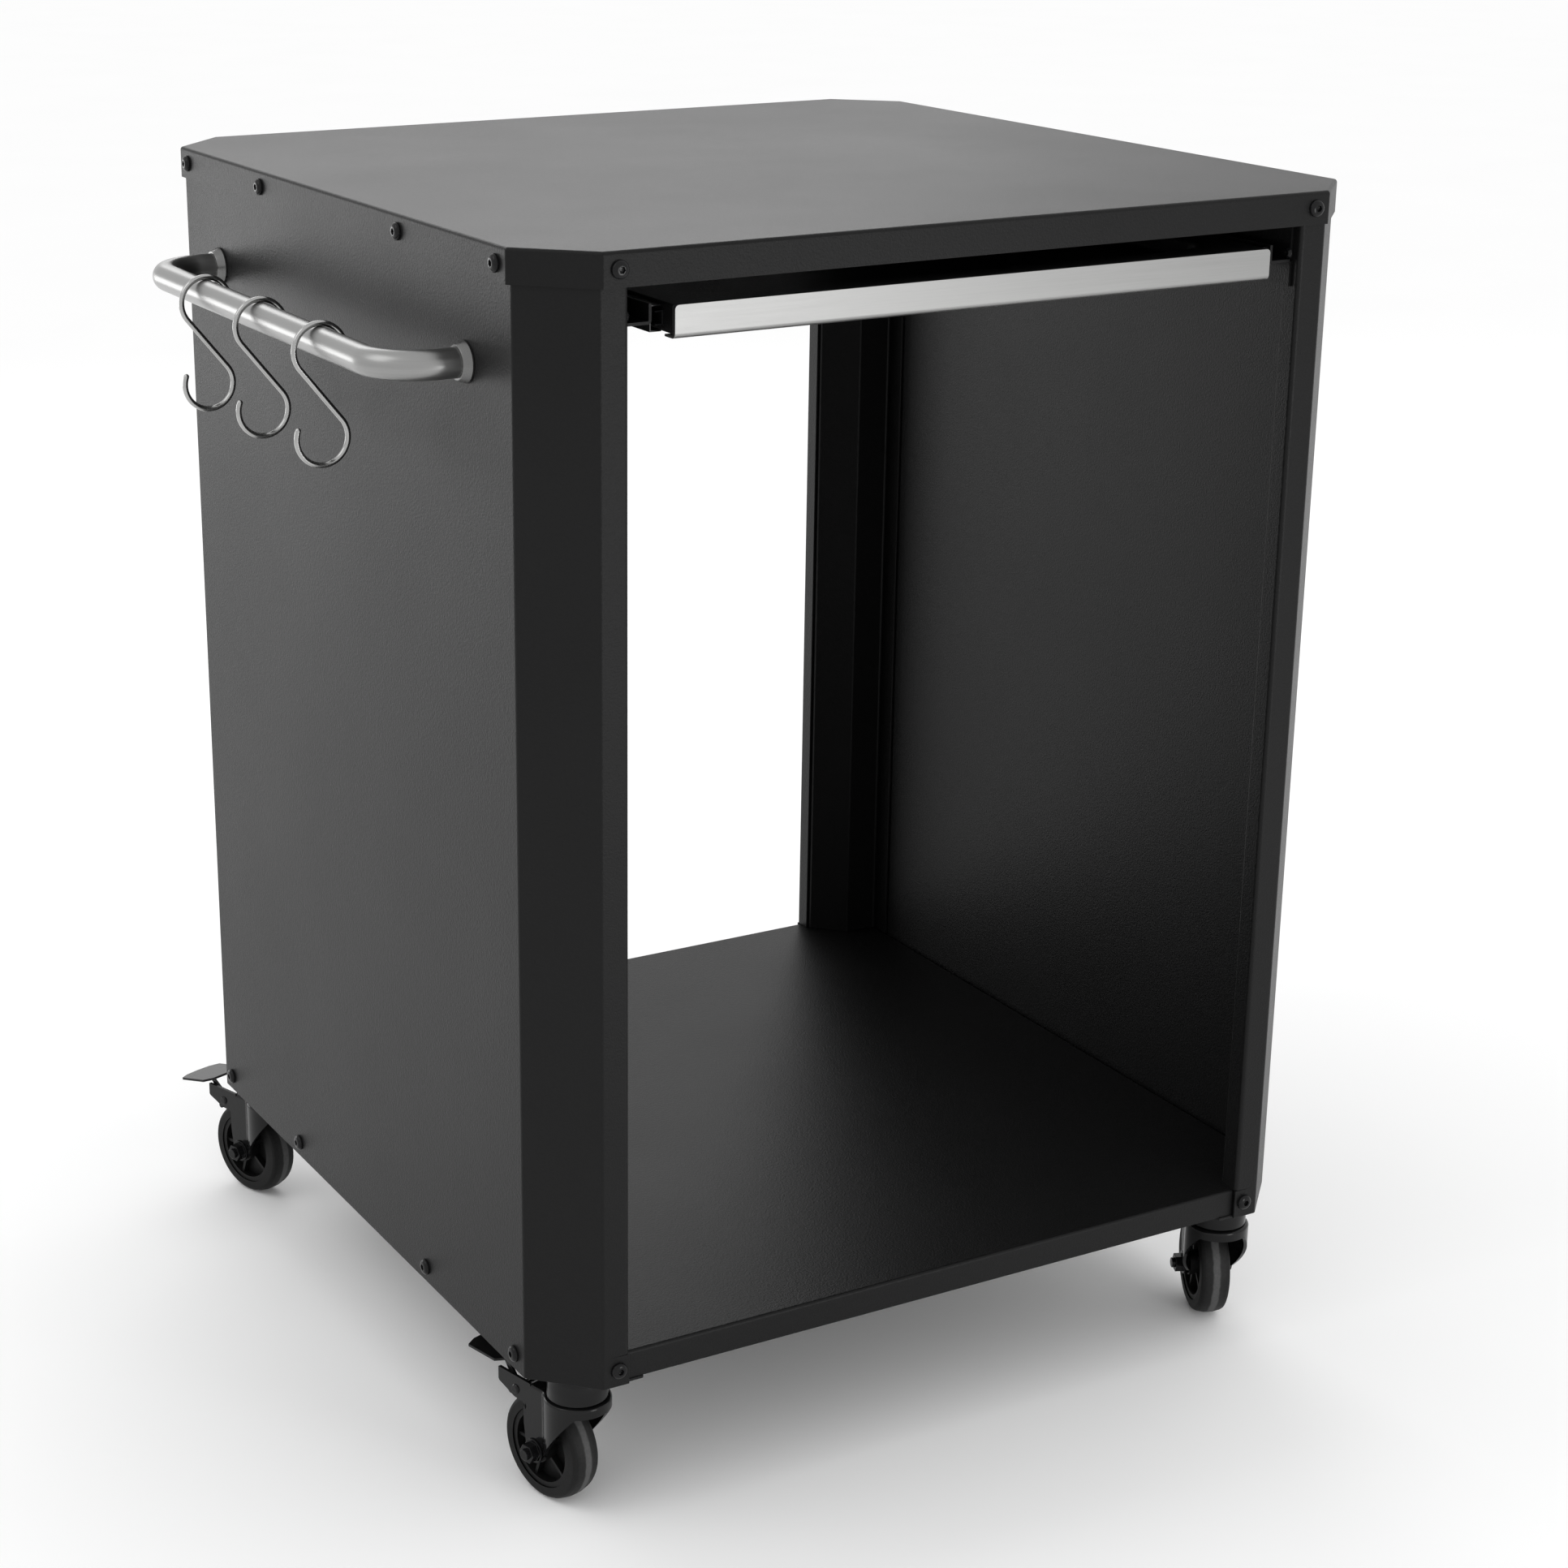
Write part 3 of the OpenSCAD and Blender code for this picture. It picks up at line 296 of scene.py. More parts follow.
def turned(profile, count=64):
    """A profile of (radius, height) points turned about the z axis."""
    a = np.linspace(0, 2 * pi, count + 1)
    p = np.asarray(profile, float)
    shape = Surface()
    shape.grid(np.stack([
        p[:, :1] * np.cos(a), p[:, :1] * np.sin(a), np.broadcast_to(p[:, 1:], (len(p), count + 1))], -1))
    return shape


def swept(path, radius, across, count=28, round_ends=0):
    """A round bar along a path that lies in one plane: at each point a circle stands square to the path.
    Rounded ends shrink the circle as a quarter of an ellipse over the last radius of length."""
    path, across = np.asarray(path, float), np.asarray(across, float)
    run = lengths(path)
    radii = np.full(len(path), float(radius))
    if round_ends:
        psi = np.linspace(pi / 2, 0, round_ends + 1)
        ends = radius * (1 - np.sin(psi))
        at = np.concatenate([ends, run[(run > radius) & (run < run[-1] - radius)], run[-1] - ends[::-1]])
        radii = np.interp(at, np.concatenate([ends, run[-1] - ends[::-1]]), np.concatenate([
            radius * np.cos(psi), radius * np.cos(psi)[::-1]]))
        path = np.stack([np.interp(at, run, path[:, k]) for k in range(3)], 1)
    along = np.gradient(path, axis=0)
    along /= np.linalg.norm(along, axis=1, keepdims=True)
    side = np.cross(across, along)
    a = np.linspace(0, 2 * pi, count + 1)[None, :, None]
    rings = path[:, None] + radii[:, None, None] * (np.cos(a) * side[:, None] + np.sin(a) * across)
    bar = Surface()
    bar.grid(rings)
    if not round_ends:
        bar.cap(rings[0, :-1], flip=True)
        bar.cap(rings[-1, :-1])
    return bar


def caster_matrix(corner):
    """From a caster's own frame, with the swivel axis as z and the wheel towards +x, to the cart's."""
    x, y, heading = CASTERS[corner]
    c, s = cos(radians(heading)), sin(radians(heading))
    return np.array([[c, -s, 0, x], [s, c, 0, y], [0, 0, 1, 0.0]])


class Link:
    """A shader socket that takes part in sums and products, each of which adds its Math node."""

    def __init__(self, finish, socket):
        self.finish, self.socket = finish, socket

    def joined(self, operation, first, second):
        return self.finish.node("Math", {0: first, 1: second}, operation=operation)

    def __add__(self, other):
        return self.joined("ADD", self, other)

    def __sub__(self, other):
        return self.joined("SUBTRACT", self, other)

    def __mul__(self, other):
        return self.joined("MULTIPLY", self, other)


class Finish:
    """One material under construction."""

    def __init__(self, name):
        self.material = bpy.data.materials.new(name)
        self.material.use_nodes = True
        self.tree = self.material.node_tree
        self.shader = self.tree.nodes["Principled BSDF"]

    def node(self, kind, values=None, output=0, stops=None, **settings):
        made = self.tree.nodes.new("ShaderNode" + kind)
        for key, value in settings.items():
            setattr(made, key, value)
        if stops:
            ramp = made.color_ramp.elements
            while len(ramp) < len(stops):
                ramp.new(0.5)
            for element, (place, level) in zip(ramp, stops):
                element.position, element.color = place, (level, level, level, 1)
        self.set(made, values or {})
        return Link(self, made.outputs[output])

    def set(self, made, values):
        for key, value in values.items():
            if isinstance(value, Link):
                self.tree.links.new(value.socket, made.inputs[key])
            else:
                made.inputs[key].default_value = value

    def surface(self, **values):
        self.set(self.shader, {key.replace("_", " "): value for key, value in values.items()})
        return self.material

    def place(self, source="Object", scale=(1, 1, 1)):
        """Coordinates in metres, stretched by a Mapping node."""
        at = self.node("TexCoord", output=source)
        return self.node("Mapping", {"Vector": at, "Scale": scale}) if scale != (1, 1, 1) else at

    def noise(self, at, scale, detail=2.0, roughness=0.5):
        return self.node("TexNoise", {"Vector": at, "Scale": scale, "Detail": detail, "Roughness": roughness})

    def ramp(self, value, stops):
        return self.node("ValToRGB", {"Fac": value}, stops=stops)

    def tint(self, factor, first, second):
        """From one colour to another as the factor goes from 0 to 1."""
        return self.node("Mix", {0: factor, 6: (*first, 1), 7: (*second, 1)}, output=2, data_type="RGBA")

    def bump(self, height, strength, distance):
        return self.node("Bump", {"Height": height, "Strength": strength, "Distance": distance})


def shade(colour, factor):
    return tuple(min(1.0, c * factor) for c in colour)


def powder_coat():
    """Fine-textured powder coat: two sizes of grain in the bump, and a slow change of gloss and tone."""
    f = Finish("Powder coat")
    at = f.place()
    grain = f.noise(at, 640, 3, 0.6)
    fine = f.noise(at, 1500, 2, 0.5)
    slow = f.noise(at, 5, 3, 0.55)
    colour = tuple(colours().powder)
    tone = f.ramp(slow * 0.6 + grain * 0.4, ((0.35, 0), (0.65, 1)))
    return f.surface(
        Base_Color=f.tint(tone, shade(colour, 0.82), shade(colour, 1.2)),
        Roughness=slow * 0.10 + grain * 0.08 + 0.29,
        IOR=1.24,
        Normal=f.bump(grain * 0.7 + fine * 0.3, 0.65, 0.0006))


def caster_paint():
    """Glossy black paint over pressed steel, with faint orange peel."""
    f = Finish("Caster paint")
    at = f.place()
    peel = f.noise(at, 260, 2, 0.5)
    slow = f.noise(at, 40, 3, 0.6)
    colour = tuple(colours().gloss)
    return f.surface(
        Base_Color=f.tint(slow, shade(colour, 0.7), shade(colour, 1.5)),
        Roughness=slow * 0.10 + 0.12,
        IOR=1.31,
        Normal=f.bump(peel, 0.12, 0.0005))


def black_zinc():
    """Blackened bolt steel, glossier on its high grain."""
    f = Finish("Blackened steel")
    at = f.place()
    grain = f.noise(at, 900, 3, 0.6)
    return f.surface(
        Base_Color=f.tint(grain, (0.003, 0.003, 0.0033), (0.009, 0.009, 0.0095)),
        Roughness=grain * 0.10 + 0.10, IOR=1.27,
        Normal=f.bump(grain, 0.15, 0.0002))


def brushed_steel(name, colour, scale, source, rough):
    """Satin stainless steel: noise stretched along the brushing makes the streaks of tone, gloss and bump."""
    f = Finish(name)
    at = f.place(source, scale)
    streaks = f.noise(at, 1.0, 4, 0.65)
    broad = f.noise(f.place(source, shade3(scale, 0.18)), 1.0, 3, 0.6)
    return f.surface(
        Base_Color=f.tint(streaks * 0.6 + broad * 0.4, shade(colour, 0.80), shade(colour, 1.12)),
        Metallic=1.0,
        Roughness=streaks * 0.16 + broad * 0.08 + rough - 0.12,
        Normal=f.bump(streaks, 0.10, 0.00012))


def shade3(scale, factor):
    return tuple(s * factor for s in scale)


def plated_zinc():
    """Bright zinc with the faint cloudiness of passivated plating."""
    f = Finish("Plated zinc")
    at = f.place()
    cloud = f.noise(at, 90, 4, 0.65)
    fine = f.noise(at, 1200, 2, 0.5)
    colour = tuple(colours().zinc)
    return f.surface(
        Base_Color=f.tint(cloud, shade(colour, 0.72), shade(colour, 1.15)),
        Metallic=1.0, Roughness=cloud * 0.2 + 0.22,
        Normal=f.bump(fine, 0.08, 0.0002))


def moulded_plastic():
    """Black moulded wheel centre, matt with a fine spark texture."""
    f = Finish("Moulded plastic")
    at = f.place()
    spark = f.noise(at, 1300, 2, 0.6)
    slow = f.noise(at, 60, 3, 0.5)
    return f.surface(
        Base_Color=f.tint(slow, (0.003, 0.003, 0.003), (0.007, 0.007, 0.007)),
        Roughness=slow * 0.15 + 0.40,
        IOR=1.26,
        Normal=f.bump(spark, 0.2, 0.0003))


def tyre_rubber():
    """Black rubber with a paler stripe round the middle of the tread, whose edges wander, and dusty scuffs.
    The second UV coordinate runs across the tyre."""
    f = Finish("Tyre rubber")
    across = f.node("SeparateXYZ", {0: f.place("UV")})
    at = f.place()
    wander = f.noise(at, 120, 3, 0.6)
    scuff = f.noise(at, 420, 4, 0.7)
    middle = f.node("Math", {0: across - TREAD_MIDDLE * 0.001}, operation="ABSOLUTE")
    stripe = f.ramp((middle + (wander - 0.5) * 0.0022) * 100, ((0.20, 1), (0.34, 0)))
    worn = f.ramp(middle * 100 + (scuff - 0.5) * 0.9, ((0.25, 1), (1.0, 0)))
    tread = tuple(colours().tread)
    base = f.tint(worn * 0.7, (0.005, 0.005, 0.005), (0.017, 0.017, 0.017))
    colour = f.node(
        "Mix", {0: stripe * (scuff * 0.8 + 0.35), 6: base, 7: (*tread, 1)}, output=2, data_type="RGBA")
    return f.surface(
        Base_Color=colour,
        Roughness=scuff * 0.2 + 0.48,
        IOR=1.28,
        Normal=f.bump(scuff, 0.25, 0.0004))


MADE = {}


def finish_of(name):
    """Each finish is made once, when the first piece asks for it."""
    steel = tuple(colours().steel)
    makers = {
        "powder": powder_coat, "gloss": caster_paint, "bolt": black_zinc, "zinc": plated_zinc,
        "plastic": moulded_plastic, "rubber": tyre_rubber,
        # One steel colour, scaled per part to match how bright each looks where it stands: the tube, drawer
        # front and collar take darker copies, which is painted shade, and the hook wire a lighter one, which
        # is painted highlight.
        "tube": lambda: brushed_steel("Brushed tube", shade(steel, 0.72), (12, 2600, 1), "UV", 0.32),
        "wire": lambda: brushed_steel("Drawn wire", shade(steel, 0.95), (30, 1800, 1), "UV", 0.20),
        "front": lambda: brushed_steel(
            "Brushed drawer front", shade(steel, 0.72), (18, 1500, 1500), "Object", 0.42),
        "collar": lambda: brushed_steel("Turned steel", shade(steel, 0.4), (500, 60, 60), "Object", 0.28),
    }
    if name not in MADE:
        MADE[name] = makers[name]()
    return MADE[name]


class CART_OT_worktop(bpy.types.Operator):
    """Makes the worktop with its rounded flange"""
    bl_idname = "cart.worktop"
    bl_label = "Worktop"

    def execute(self, context):
        s = sizes()
        top = pan(TOP_X, TOP_Y, TOP_LEG, TOP_LOW, TOP_Z, s.top_bend * 1000, 2.2)
        dressed("worktop", top, finish_of("powder"), wall=SHEET, edge=s.edge)
        return {"FINISHED"}


class CART_OT_panels(bpy.types.Operator):
    """Makes the two folded side panels and the stiffeners behind their posts"""
    bl_idname = "cart.panels"
    bl_label = "Side panels"

    def execute(self, context):
        s = sizes()
        bend = s.panel_bend * 1000
        body = [
            (SKIN_X - SKIN_LEG, -SKIN_Y), (SKIN_X, SKIN_LEG - SKIN_Y), (SKIN_X, SKIN_Y - SKIN_LEG),
            (SKIN_X - SKIN_LEG, SKIN_Y)]
        lipped = [(OPEN_X, -LIP_END), (OPEN_X, -SKIN_Y), *body, (OPEN_X, SKIN_Y), (OPEN_X, LIP_END)]
        foot = [(OPEN_X, -SKIN_Y), *body, (OPEN_X, SKIN_Y)]
        for side, name in ((1, "right"), (-1, "left")):
            sheet = Surface()
            for path, low, high in ((lipped, SHELF_Z, UNDER_TOP), (foot, POST_Z, SHELF_Z)):
                run = rounded_path(path, bend) * (side, 1)
                part = strip(run, low, high, flip=side < 0)
                sheet.faces += [[i + sheet.count for i in face] for face in part.faces]
                sheet.points += part.points
                sheet.uvs += part.uvs
                sheet.count += part.count
            dressed(name + "_side_panel", sheet, finish_of("powder"), wall=SHEET, edge=s.edge)
        lip = OPEN_X + SHEET + 0.3
        web_y, flange_x = -279.6, 321.3
        inside = [
            (lip, web_y - 30), (lip, web_y - 25), (lip + 25, web_y), (flange_x, web_y),
            (flange_x, web_y + 20)]
        for name, (x, y, _) in CASTERS.items():
            run = rounded_path(inside, (0, 2.5, 2.5, 2.5, 0)) * (np.sign(x), -np.sign(y))
            part = strip(run, SHELF_Z + 0.3, UNDER_TOP - 0.3, flip=x * y < 0)
            dressed(name + "_stiffener", part, finish_of("powder"), wall=SHEET, edge=s.edge)
        return {"FINISHED"}


class CART_OT_shelf(bpy.types.Operator):
    """Makes the low shelf and the corner plates under it"""
    bl_idname = "cart.shelf"
    bl_label = "Shelf"

    def execute(self, context):
        s = sizes()
        shelf = pan(SHELF_X, SHELF_Y, SHELF_LEG, PLATE_TOP, SHELF_Z, s.top_bend * 1000, 2.2)
        dressed("shelf", shelf, finish_of("powder"), wall=SHEET, edge=s.edge)
        for corner in CASTERS:
            softened(corner + "_caster_plate", finish_of("powder"), edge=s.edge)
        return {"FINISHED"}


def button_head(head_d, head_h, across, shank_r, shank):
    """Points of a bolt at each angle and step: from the hexagon's floor up its wall, over a dome that falls
    off as a quarter of an ellipse, and down to the shank's end."""
    a = np.linspace(0, 2 * pi, 73)[None, :]
    hexagon = across / 2 / np.cos((a + pi / 6) % (pi / 3) - pi / 6)
    dome = np.linspace(0.0, 1.0, 9)[:, None]
    flat_r = across / 2 * 1.22
    dome_r = flat_r + (head_d / 2 - flat_r) * np.sin(dome * pi / 2)
    dome_z = 0.9 + (head_h - 0.9) * np.cos(dome * pi / 2)
    one = np.ones_like(a)
    radius = np.concatenate([
        0.001 * one, hexagon * 0.97, hexagon, hexagon * 1.05, dome_r * one,
        (head_d / 2) * one, shank_r * one, shank_r * one, 0.001 * one])
    floor = head_h * 0.42
    height = np.concatenate([
        (floor - 0.4) * one, floor * one, (head_h - 0.25) * one, head_h * one, dome_z * one,
        0.0 * one, 0.0 * one, -shank * one, -shank * one])
    return np.stack([radius * np.cos(a), radius * np.sin(a), height], -1)[::-1]


class CART_OT_bolts(bpy.types.Operator):
    """Makes the button head bolts round the worktop and the feet, and the nuts they go into"""
    bl_idname = "cart.bolts"
    bl_label = "Bolts"

    def execute(self, context):
        head = button_head(head_d=12.0, head_h=3.6, across=4.0, shank_r=3.0, shank=12.4)
        turn = np.random.default_rng(7)
        rows = (("worktop_bolts", TOP_X, TOP_Y, TOP_BOLT_Z), ("shelf_bolts", SKIN_X, SKIN_Y, FOOT_BOLT_Z))
        for name, x, y, z in rows:
            places = [((side * x, v, z), (side, 0, 0)) for side in (-1, 1) for v in SIDE_BOLTS]
            places += [((u, end * y, z), (0, end, 0)) for end in (-1, 1) for u in END_BOLTS]
            bolts = Surface()
            for place, out in places:
                frame_of = Matrix.Rotation(turn.uniform(0, pi), 4, "Z")
                frame_of = matrix_towards(out) @ np.array(frame_of)[:3, :3]
                bolts.grid(head @ frame_of.T + np.array(place))
            dressed(name, bolts, finish_of("bolt"), smooth=40)
        for node in ("worktop_rivet_nuts", "shelf_rivet_nuts"):
            softened(node, finish_of("zinc"), edge=0.0002)
        return {"FINISHED"}


def matrix_towards(out):
    """Turns the z axis towards a level direction."""
    out = np.asarray(out, float)
    side = np.cross((0, 0, 1.0), out)
    return np.stack([side, np.cross(out, side), out], 1)


class CART_OT_drawer(bpy.types.Operator):
    """Makes the tray, its stainless front, its slides and the channels that carry them"""
    bl_idname = "cart.drawer"
    bl_label = "Drawer"

    def execute(self, context):
        s = sizes()
        rim, depth, fillet = 23.5, 14.0, s.recess_fillet * 1000
        turn = np.linspace(0, pi / 2, s.bend_steps + 1)

        def loop(inset, radius, z):
            x, y0, y1 = TRAY_X - inset, TRAY_FRONT + inset, TRAY_BACK - inset
            path = rounded_path([(x, y0), (x, y1), (-x, y1), (-x, y0)], radius, closed=True, steps=16)
            path = np.vstack([path, path[:1]])
            return np.column_stack([path, np.full(len(path), z)])

        corner, fold, well = 1.2, 1.5, 40
        rows = [loop(0, corner, TRAY_LOW)]
        rows += [loop(fold * (1 - cos(a)), corner, TRAY_TOP - fold + fold * sin(a)) for a in turn]
        rows += [
            loop(rim - fillet + fillet * sin(a), well + fillet * (1 - sin(a)),
                 TRAY_TOP - fillet * (1 - cos(a)))
            for a in turn]
        rows += [
            loop(rim + fillet * (1 - cos(a)), well - fillet * (1 - cos(a)),
                 TRAY_TOP - depth + fillet * (1 - sin(a)))
            for a in turn]
        tray = Surface()
        tray.grid(rows)
        tray.cap(rows[-1][:-1])
        dressed("drawer_tray", tray, finish_of("powder"), wall=1.2, edge=0.0003)

        front = TRAY_FRONT - FRONT_T
        bend = s.front_bend * 1000
        path = rounded_path([(front, TRAY_TOP), (front, FRONT_LOW), (front + FRONT_LIP, FRONT_LOW)], bend)
        round_end = 3.0
        ends = TRAY_X - round_end + round_end * np.sin(turn)

        def section(x):
            """The folded strip at x. Near each end its top falls along a quarter circle of radius r:
            z = top - r + sqrt(r^2 - (|x| - end + r)^2)."""
            row = np.column_stack([np.full(len(path), x), path])
            past = max(0.0, abs(x) - TRAY_X + round_end)
            row[0, 2] -= round_end - sqrt(max(0.0, round_end ** 2 - past ** 2))
            return row

        rows = [section(x) for x in np.concatenate([-ends[::-1], np.linspace(-200, 200, 5), ends])]
        strip_front = Surface()
        strip_front.grid(rows, flip=True)
        dressed("drawer_front", strip_front, finish_of("front"), wall=FRONT_T, edge=0.0005)

        for side, name in ((1, "right"), (-1, "left")):
            path = rounded_path(
                [(CHANNEL_X, TRAY_TOP), (CHANNEL_X, CHANNEL_LOW), (OPEN_X, CHANNEL_LOW),
                 (OPEN_X, CHANNEL_TOP)], CHANNEL_BEND)
            rows = [
                np.column_stack([path[:, 0] * side, np.full(len(path), y), path[:, 1]])
                for y in (-CHANNEL_END, CHANNEL_END)]
            channel = Surface()
            channel.grid(rows, flip=side > 0)
            for y in (-CHANNEL_END, CHANNEL_END - TAB_WIDE):
                tab = [
                    [(side * OPEN_X, y + wide, z) for z in (TAB_LOW, CHANNEL_LOW + CHANNEL_BEND)]
                    for wide in (0.0, TAB_WIDE)]
                channel.grid(tab, flip=side > 0)
            dressed(name + "_rail_bracket", channel, finish_of("powder"), wall=SHEET, edge=s.edge)
            for part in ("slide_rail", "ball_cage", "slide_runner"):
                softened(f"{name}_{part}", finish_of("bolt"), edge=0.00015)
        softened("bracket_screws", finish_of("bolt"), edge=0.0002)
        return {"FINISHED"}


class CART_OT_handle(bpy.types.Operator):
    """Makes the bent tube handle and its collars"""
    bl_idname = "cart.handle"
    bl_label = "Handle"

    def execute(self, context):
        plan = rounded_path(
            [(-SKIN_X, -BAR_Y), (BAR_X, -BAR_Y), (BAR_X, BAR_Y), (-SKIN_X, BAR_Y)], BAR_BEND, steps=24)
        straight = np.linspace(0.02, 0.98, 24)[:, None]
        middle = len(plan) // 2
        between = plan[middle - 1] * (1 - straight) + plan[middle] * straight
        plan = np.vstack([plan[:middle], between, plan[middle:]])
        path = np.column_stack([plan, np.full(len(plan), BAR_Z)])
        bar = swept(path, sizes().tube * 500, (0, 0, 1.0), count=56)
        dressed("handle_bar", bar, finish_of("tube"))
        profile = rounded_path(
            [(10.15, 0), (14, 0), (14, 1.3), (11.5, 7), (10.15, 7)], (0, 0.3, 0.7, 0.6, 0.2), steps=5)
        lift = np.array([[0, 0, -1.0, -SKIN_X], [0, 1.0, 0, 0], [1.0, 0, 0, BAR_Z]])
        for end, name in ((-1, "front"), (1, "rear")):
            lift[1, 3] = end * BAR_Y
            dressed(name + "_handle_ferrule", turned(profile, 72).moved(lift), finish_of("collar"))
        softened("handle_screws", finish_of("zinc"), edge=0.0002)
        return {"FINISHED"}


class CART_OT_hooks(bpy.types.Operator):
    """Makes the three wire hooks"""
    bl_idname = "cart.hooks"
    bl_label = "Hooks"

    def execute(self, context):
        loop_r, apart, tip = HOOK_LOOP, HOOK_APART, radians(27)
        lean = asin(2 * loop_r / apart)
        low = np.linspace(pi - tip, 2 * pi + lean, 72)
        high = np.linspace(pi + lean, -tip, 72)
        path = np.concatenate([
            np.stack([loop_r * np.cos(low), loop_r * np.sin(low) - apart / 2], 1),
            np.stack([loop_r * np.cos(high), loop_r * np.sin(high) + apart / 2], 1)])
        for name, y in HOOK_PLACES.items():
            points = np.column_stack([path[:, 0] + BAR_X, np.full(len(path), y), path[:, 1] + HOOK_Z])
            hook = swept(points, sizes().wire * 500, (0, 1.0, 0), count=20, round_ends=5)
            dressed(name + "_hook", hook, finish_of("wire"))
        return {"FINISHED"}


def fork_shape(eared):
    """Outer face of a caster fork. Its plan runs from the rear of one leg round the swivel head to the other
    leg, and each point of it carries a row from the middle of the crown, over a rounded edge and down to
    the lower edge of the leg, whose height is that of the leg's side view at that distance back."""
    blend, boss = 5.0, 9.0
    slant_x, shoulder_z = -18.13, 81.0
    slope = atan2(89.0 - WHEEL_R, TRAIL - slant_x)
    rear = 39.5
    swing = np.linspace(0, -pi / 2 - slope, 15)
    start = sqrt((CROWN_R + blend) ** 2 - (LEG_OUT + blend) ** 2)
    if eared:
        ear = [
            (67.0, 82.2), (66.2, 80.7), (57.5, 77.3), (49.5, 74.3), (45.0, 74.0), (rear + 1.2, 74.0),
            (rear + 0.2, 73.2), (rear, 71.0)]
        back = [(x, low, CROWN_TOP) for x, low in ear]
    else:
        back = [(rear, 79.5, 80.2), (rear, 71.0, shoulder_z)]

    def top_at(x):
        """Height of the leg's upper edge at a distance back."""
        if eared:
            return CROWN_TOP + 0 * x
        return np.interp(x, [CROWN_R, rear], [CROWN_TOP, shoulder_z])

    back += [(rear, 58.0, None), (38.4, 50.0, None)]
    back += [(TRAIL + boss * cos(a), WHEEL_R + boss * sin(a), None) for a in swing]
    x = np.array([b[0] for b in back])
    z_low = np.array([b[1] for b in back])
    z_top = np.array([top_at(b[0]) if b[2] is None else b[2] for b in back])
    hood = 32.0 if eared else CROWN_R
    extra = (hood + 0.001, hood)
    # The slanted front edge starts where the boss ends
    low_x, low_z = x[-1], z_low[-1]

    def slant(v):
        return np.interp(v, [slant_x, low_x], [85.0, low_z])

    onward = np.linspace(low_x - 0.3, start, 2)
    straight_x = np.concatenate([x, onward])
    straight_low = np.concatenate([z_low, slant(onward)])
    straight_top = np.concatenate([z_top, top_at(onward)])
    # Extra columns at the hood's end take the lower edge of their neighbours
    order = np.argsort(-straight_x, kind="stable")
    straight_x, straight_low, straight_top = straight_x[order], straight_low[order], straight_top[order]
    for v in extra:
        k = int(np.searchsorted(-straight_x, -v))
        low_v = np.interp(-v, -straight_x, straight_low)
        straight_x = np.insert(straight_x, k, v)
        straight_low = np.insert(straight_low, k, low_v)
        straight_top = np.insert(straight_top, k, top_at(v))
    plan = np.column_stack([straight_x, np.full(len(straight_x), LEG_OUT)])
    normal = np.tile((0.0, 1.0), (len(plan), 1))
    bend = atan2(LEG_OUT + blend, start)
    a = np.linspace(-pi / 2, -pi + bend, 7)[1:]
    fillet = np.column_stack([start + blend * np.cos(a), LEG_OUT + blend + blend * np.sin(a)])
    fillet_n = -np.column_stack([np.cos(a), np.sin(a)])
    b = np.linspace(bend, pi, 22)[1:]
    ring = CROWN_R * np.column_stack([np.cos(b), np.sin(b)])
    plan = np.vstack([plan, fillet, ring])
    normal = np.vstack([normal, fillet_n, ring / CROWN_R])
    low = np.concatenate([
        straight_low, np.minimum(slant(fillet[:, 0]), RIM_LOW), np.minimum(slant(ring[:, 0]), RIM_LOW)])
    top = np.concatenate([straight_top, np.full(len(fillet) + len(ring), CROWN_TOP)])
    # The other leg is this one's mirror image
    plan = np.vstack([plan, plan[-2::-1] * (1, -1)])
    normal = np.vstack([normal, normal[-2::-1] * (1, -1)])
    low, top = np.concatenate([low, low[-2::-1]]), np.concatenate([top, top[-2::-1]])
    covered = plan[:, 0] <= hood + 0.0005
    round_r = np.where(covered, 2.6, 0.0)
    turn = np.linspace(0, pi / 2, 6)
    spine = np.column_stack([np.clip(plan[:, 0], 0, hood), np.zeros(len(plan))])
    spine[~covered] = plan[~covered]
    inner = plan - normal * round_r[:, None]
    rows = [np.column_stack([spine, top])]
    for t in turn:
        rows.append(np.column_stack([
            inner + normal * (round_r * sin(t))[:, None], top - round_r * (1 - cos(t))]))
    rows.append(np.column_stack([plan, low]))
    fork = Surface()
    fork.grid(np.array(rows)[::-1])
    edge = np.linspace(-bend, bend, 16)
    rim = np.column_stack([CROWN_R * np.cos(edge), CROWN_R * np.sin(edge)])
    fork.grid([np.column_stack([rim, np.full(len(rim), z)]) for z in (RIM_LOW, 90.0)])
    return fork


TYRE = [
    (30.0, -11.5), (35.8, -11.5), (37.7, -10.6), (38.8, -8.5), (40.0, -3.0), (40.0, 3.0), (38.8, 8.5),
    (37.7, 10.6), (35.8, 11.5), (30.0, 11.5)]
# Length of the tyre's section from its first corner to the middle of its tread
TREAD_MIDDLE = 5.8 + 2.1 + 2.37 + 5.63 + 3.0
# Radius and height of a stem: below its dome the king pin, the cup's floor and its skirt, above it the thread
STEM_BELOW = [
    (0.001, 86.45), (7.6, 86.45), (8.0, 86.9), (8.0, 88.95), (5.0, 88.95), (5.0, 95.6), (20.0, 95.6),
    (20.0, 92.3), (20.3, 92.0), (21.6, 92.0), (22.0, 92.4)]
STEM_ABOVE = [(15.2, 115.0), (6.0, 115.0), (6.0, 134.4), (5.4, 135.0), (0.001, 135.0)]


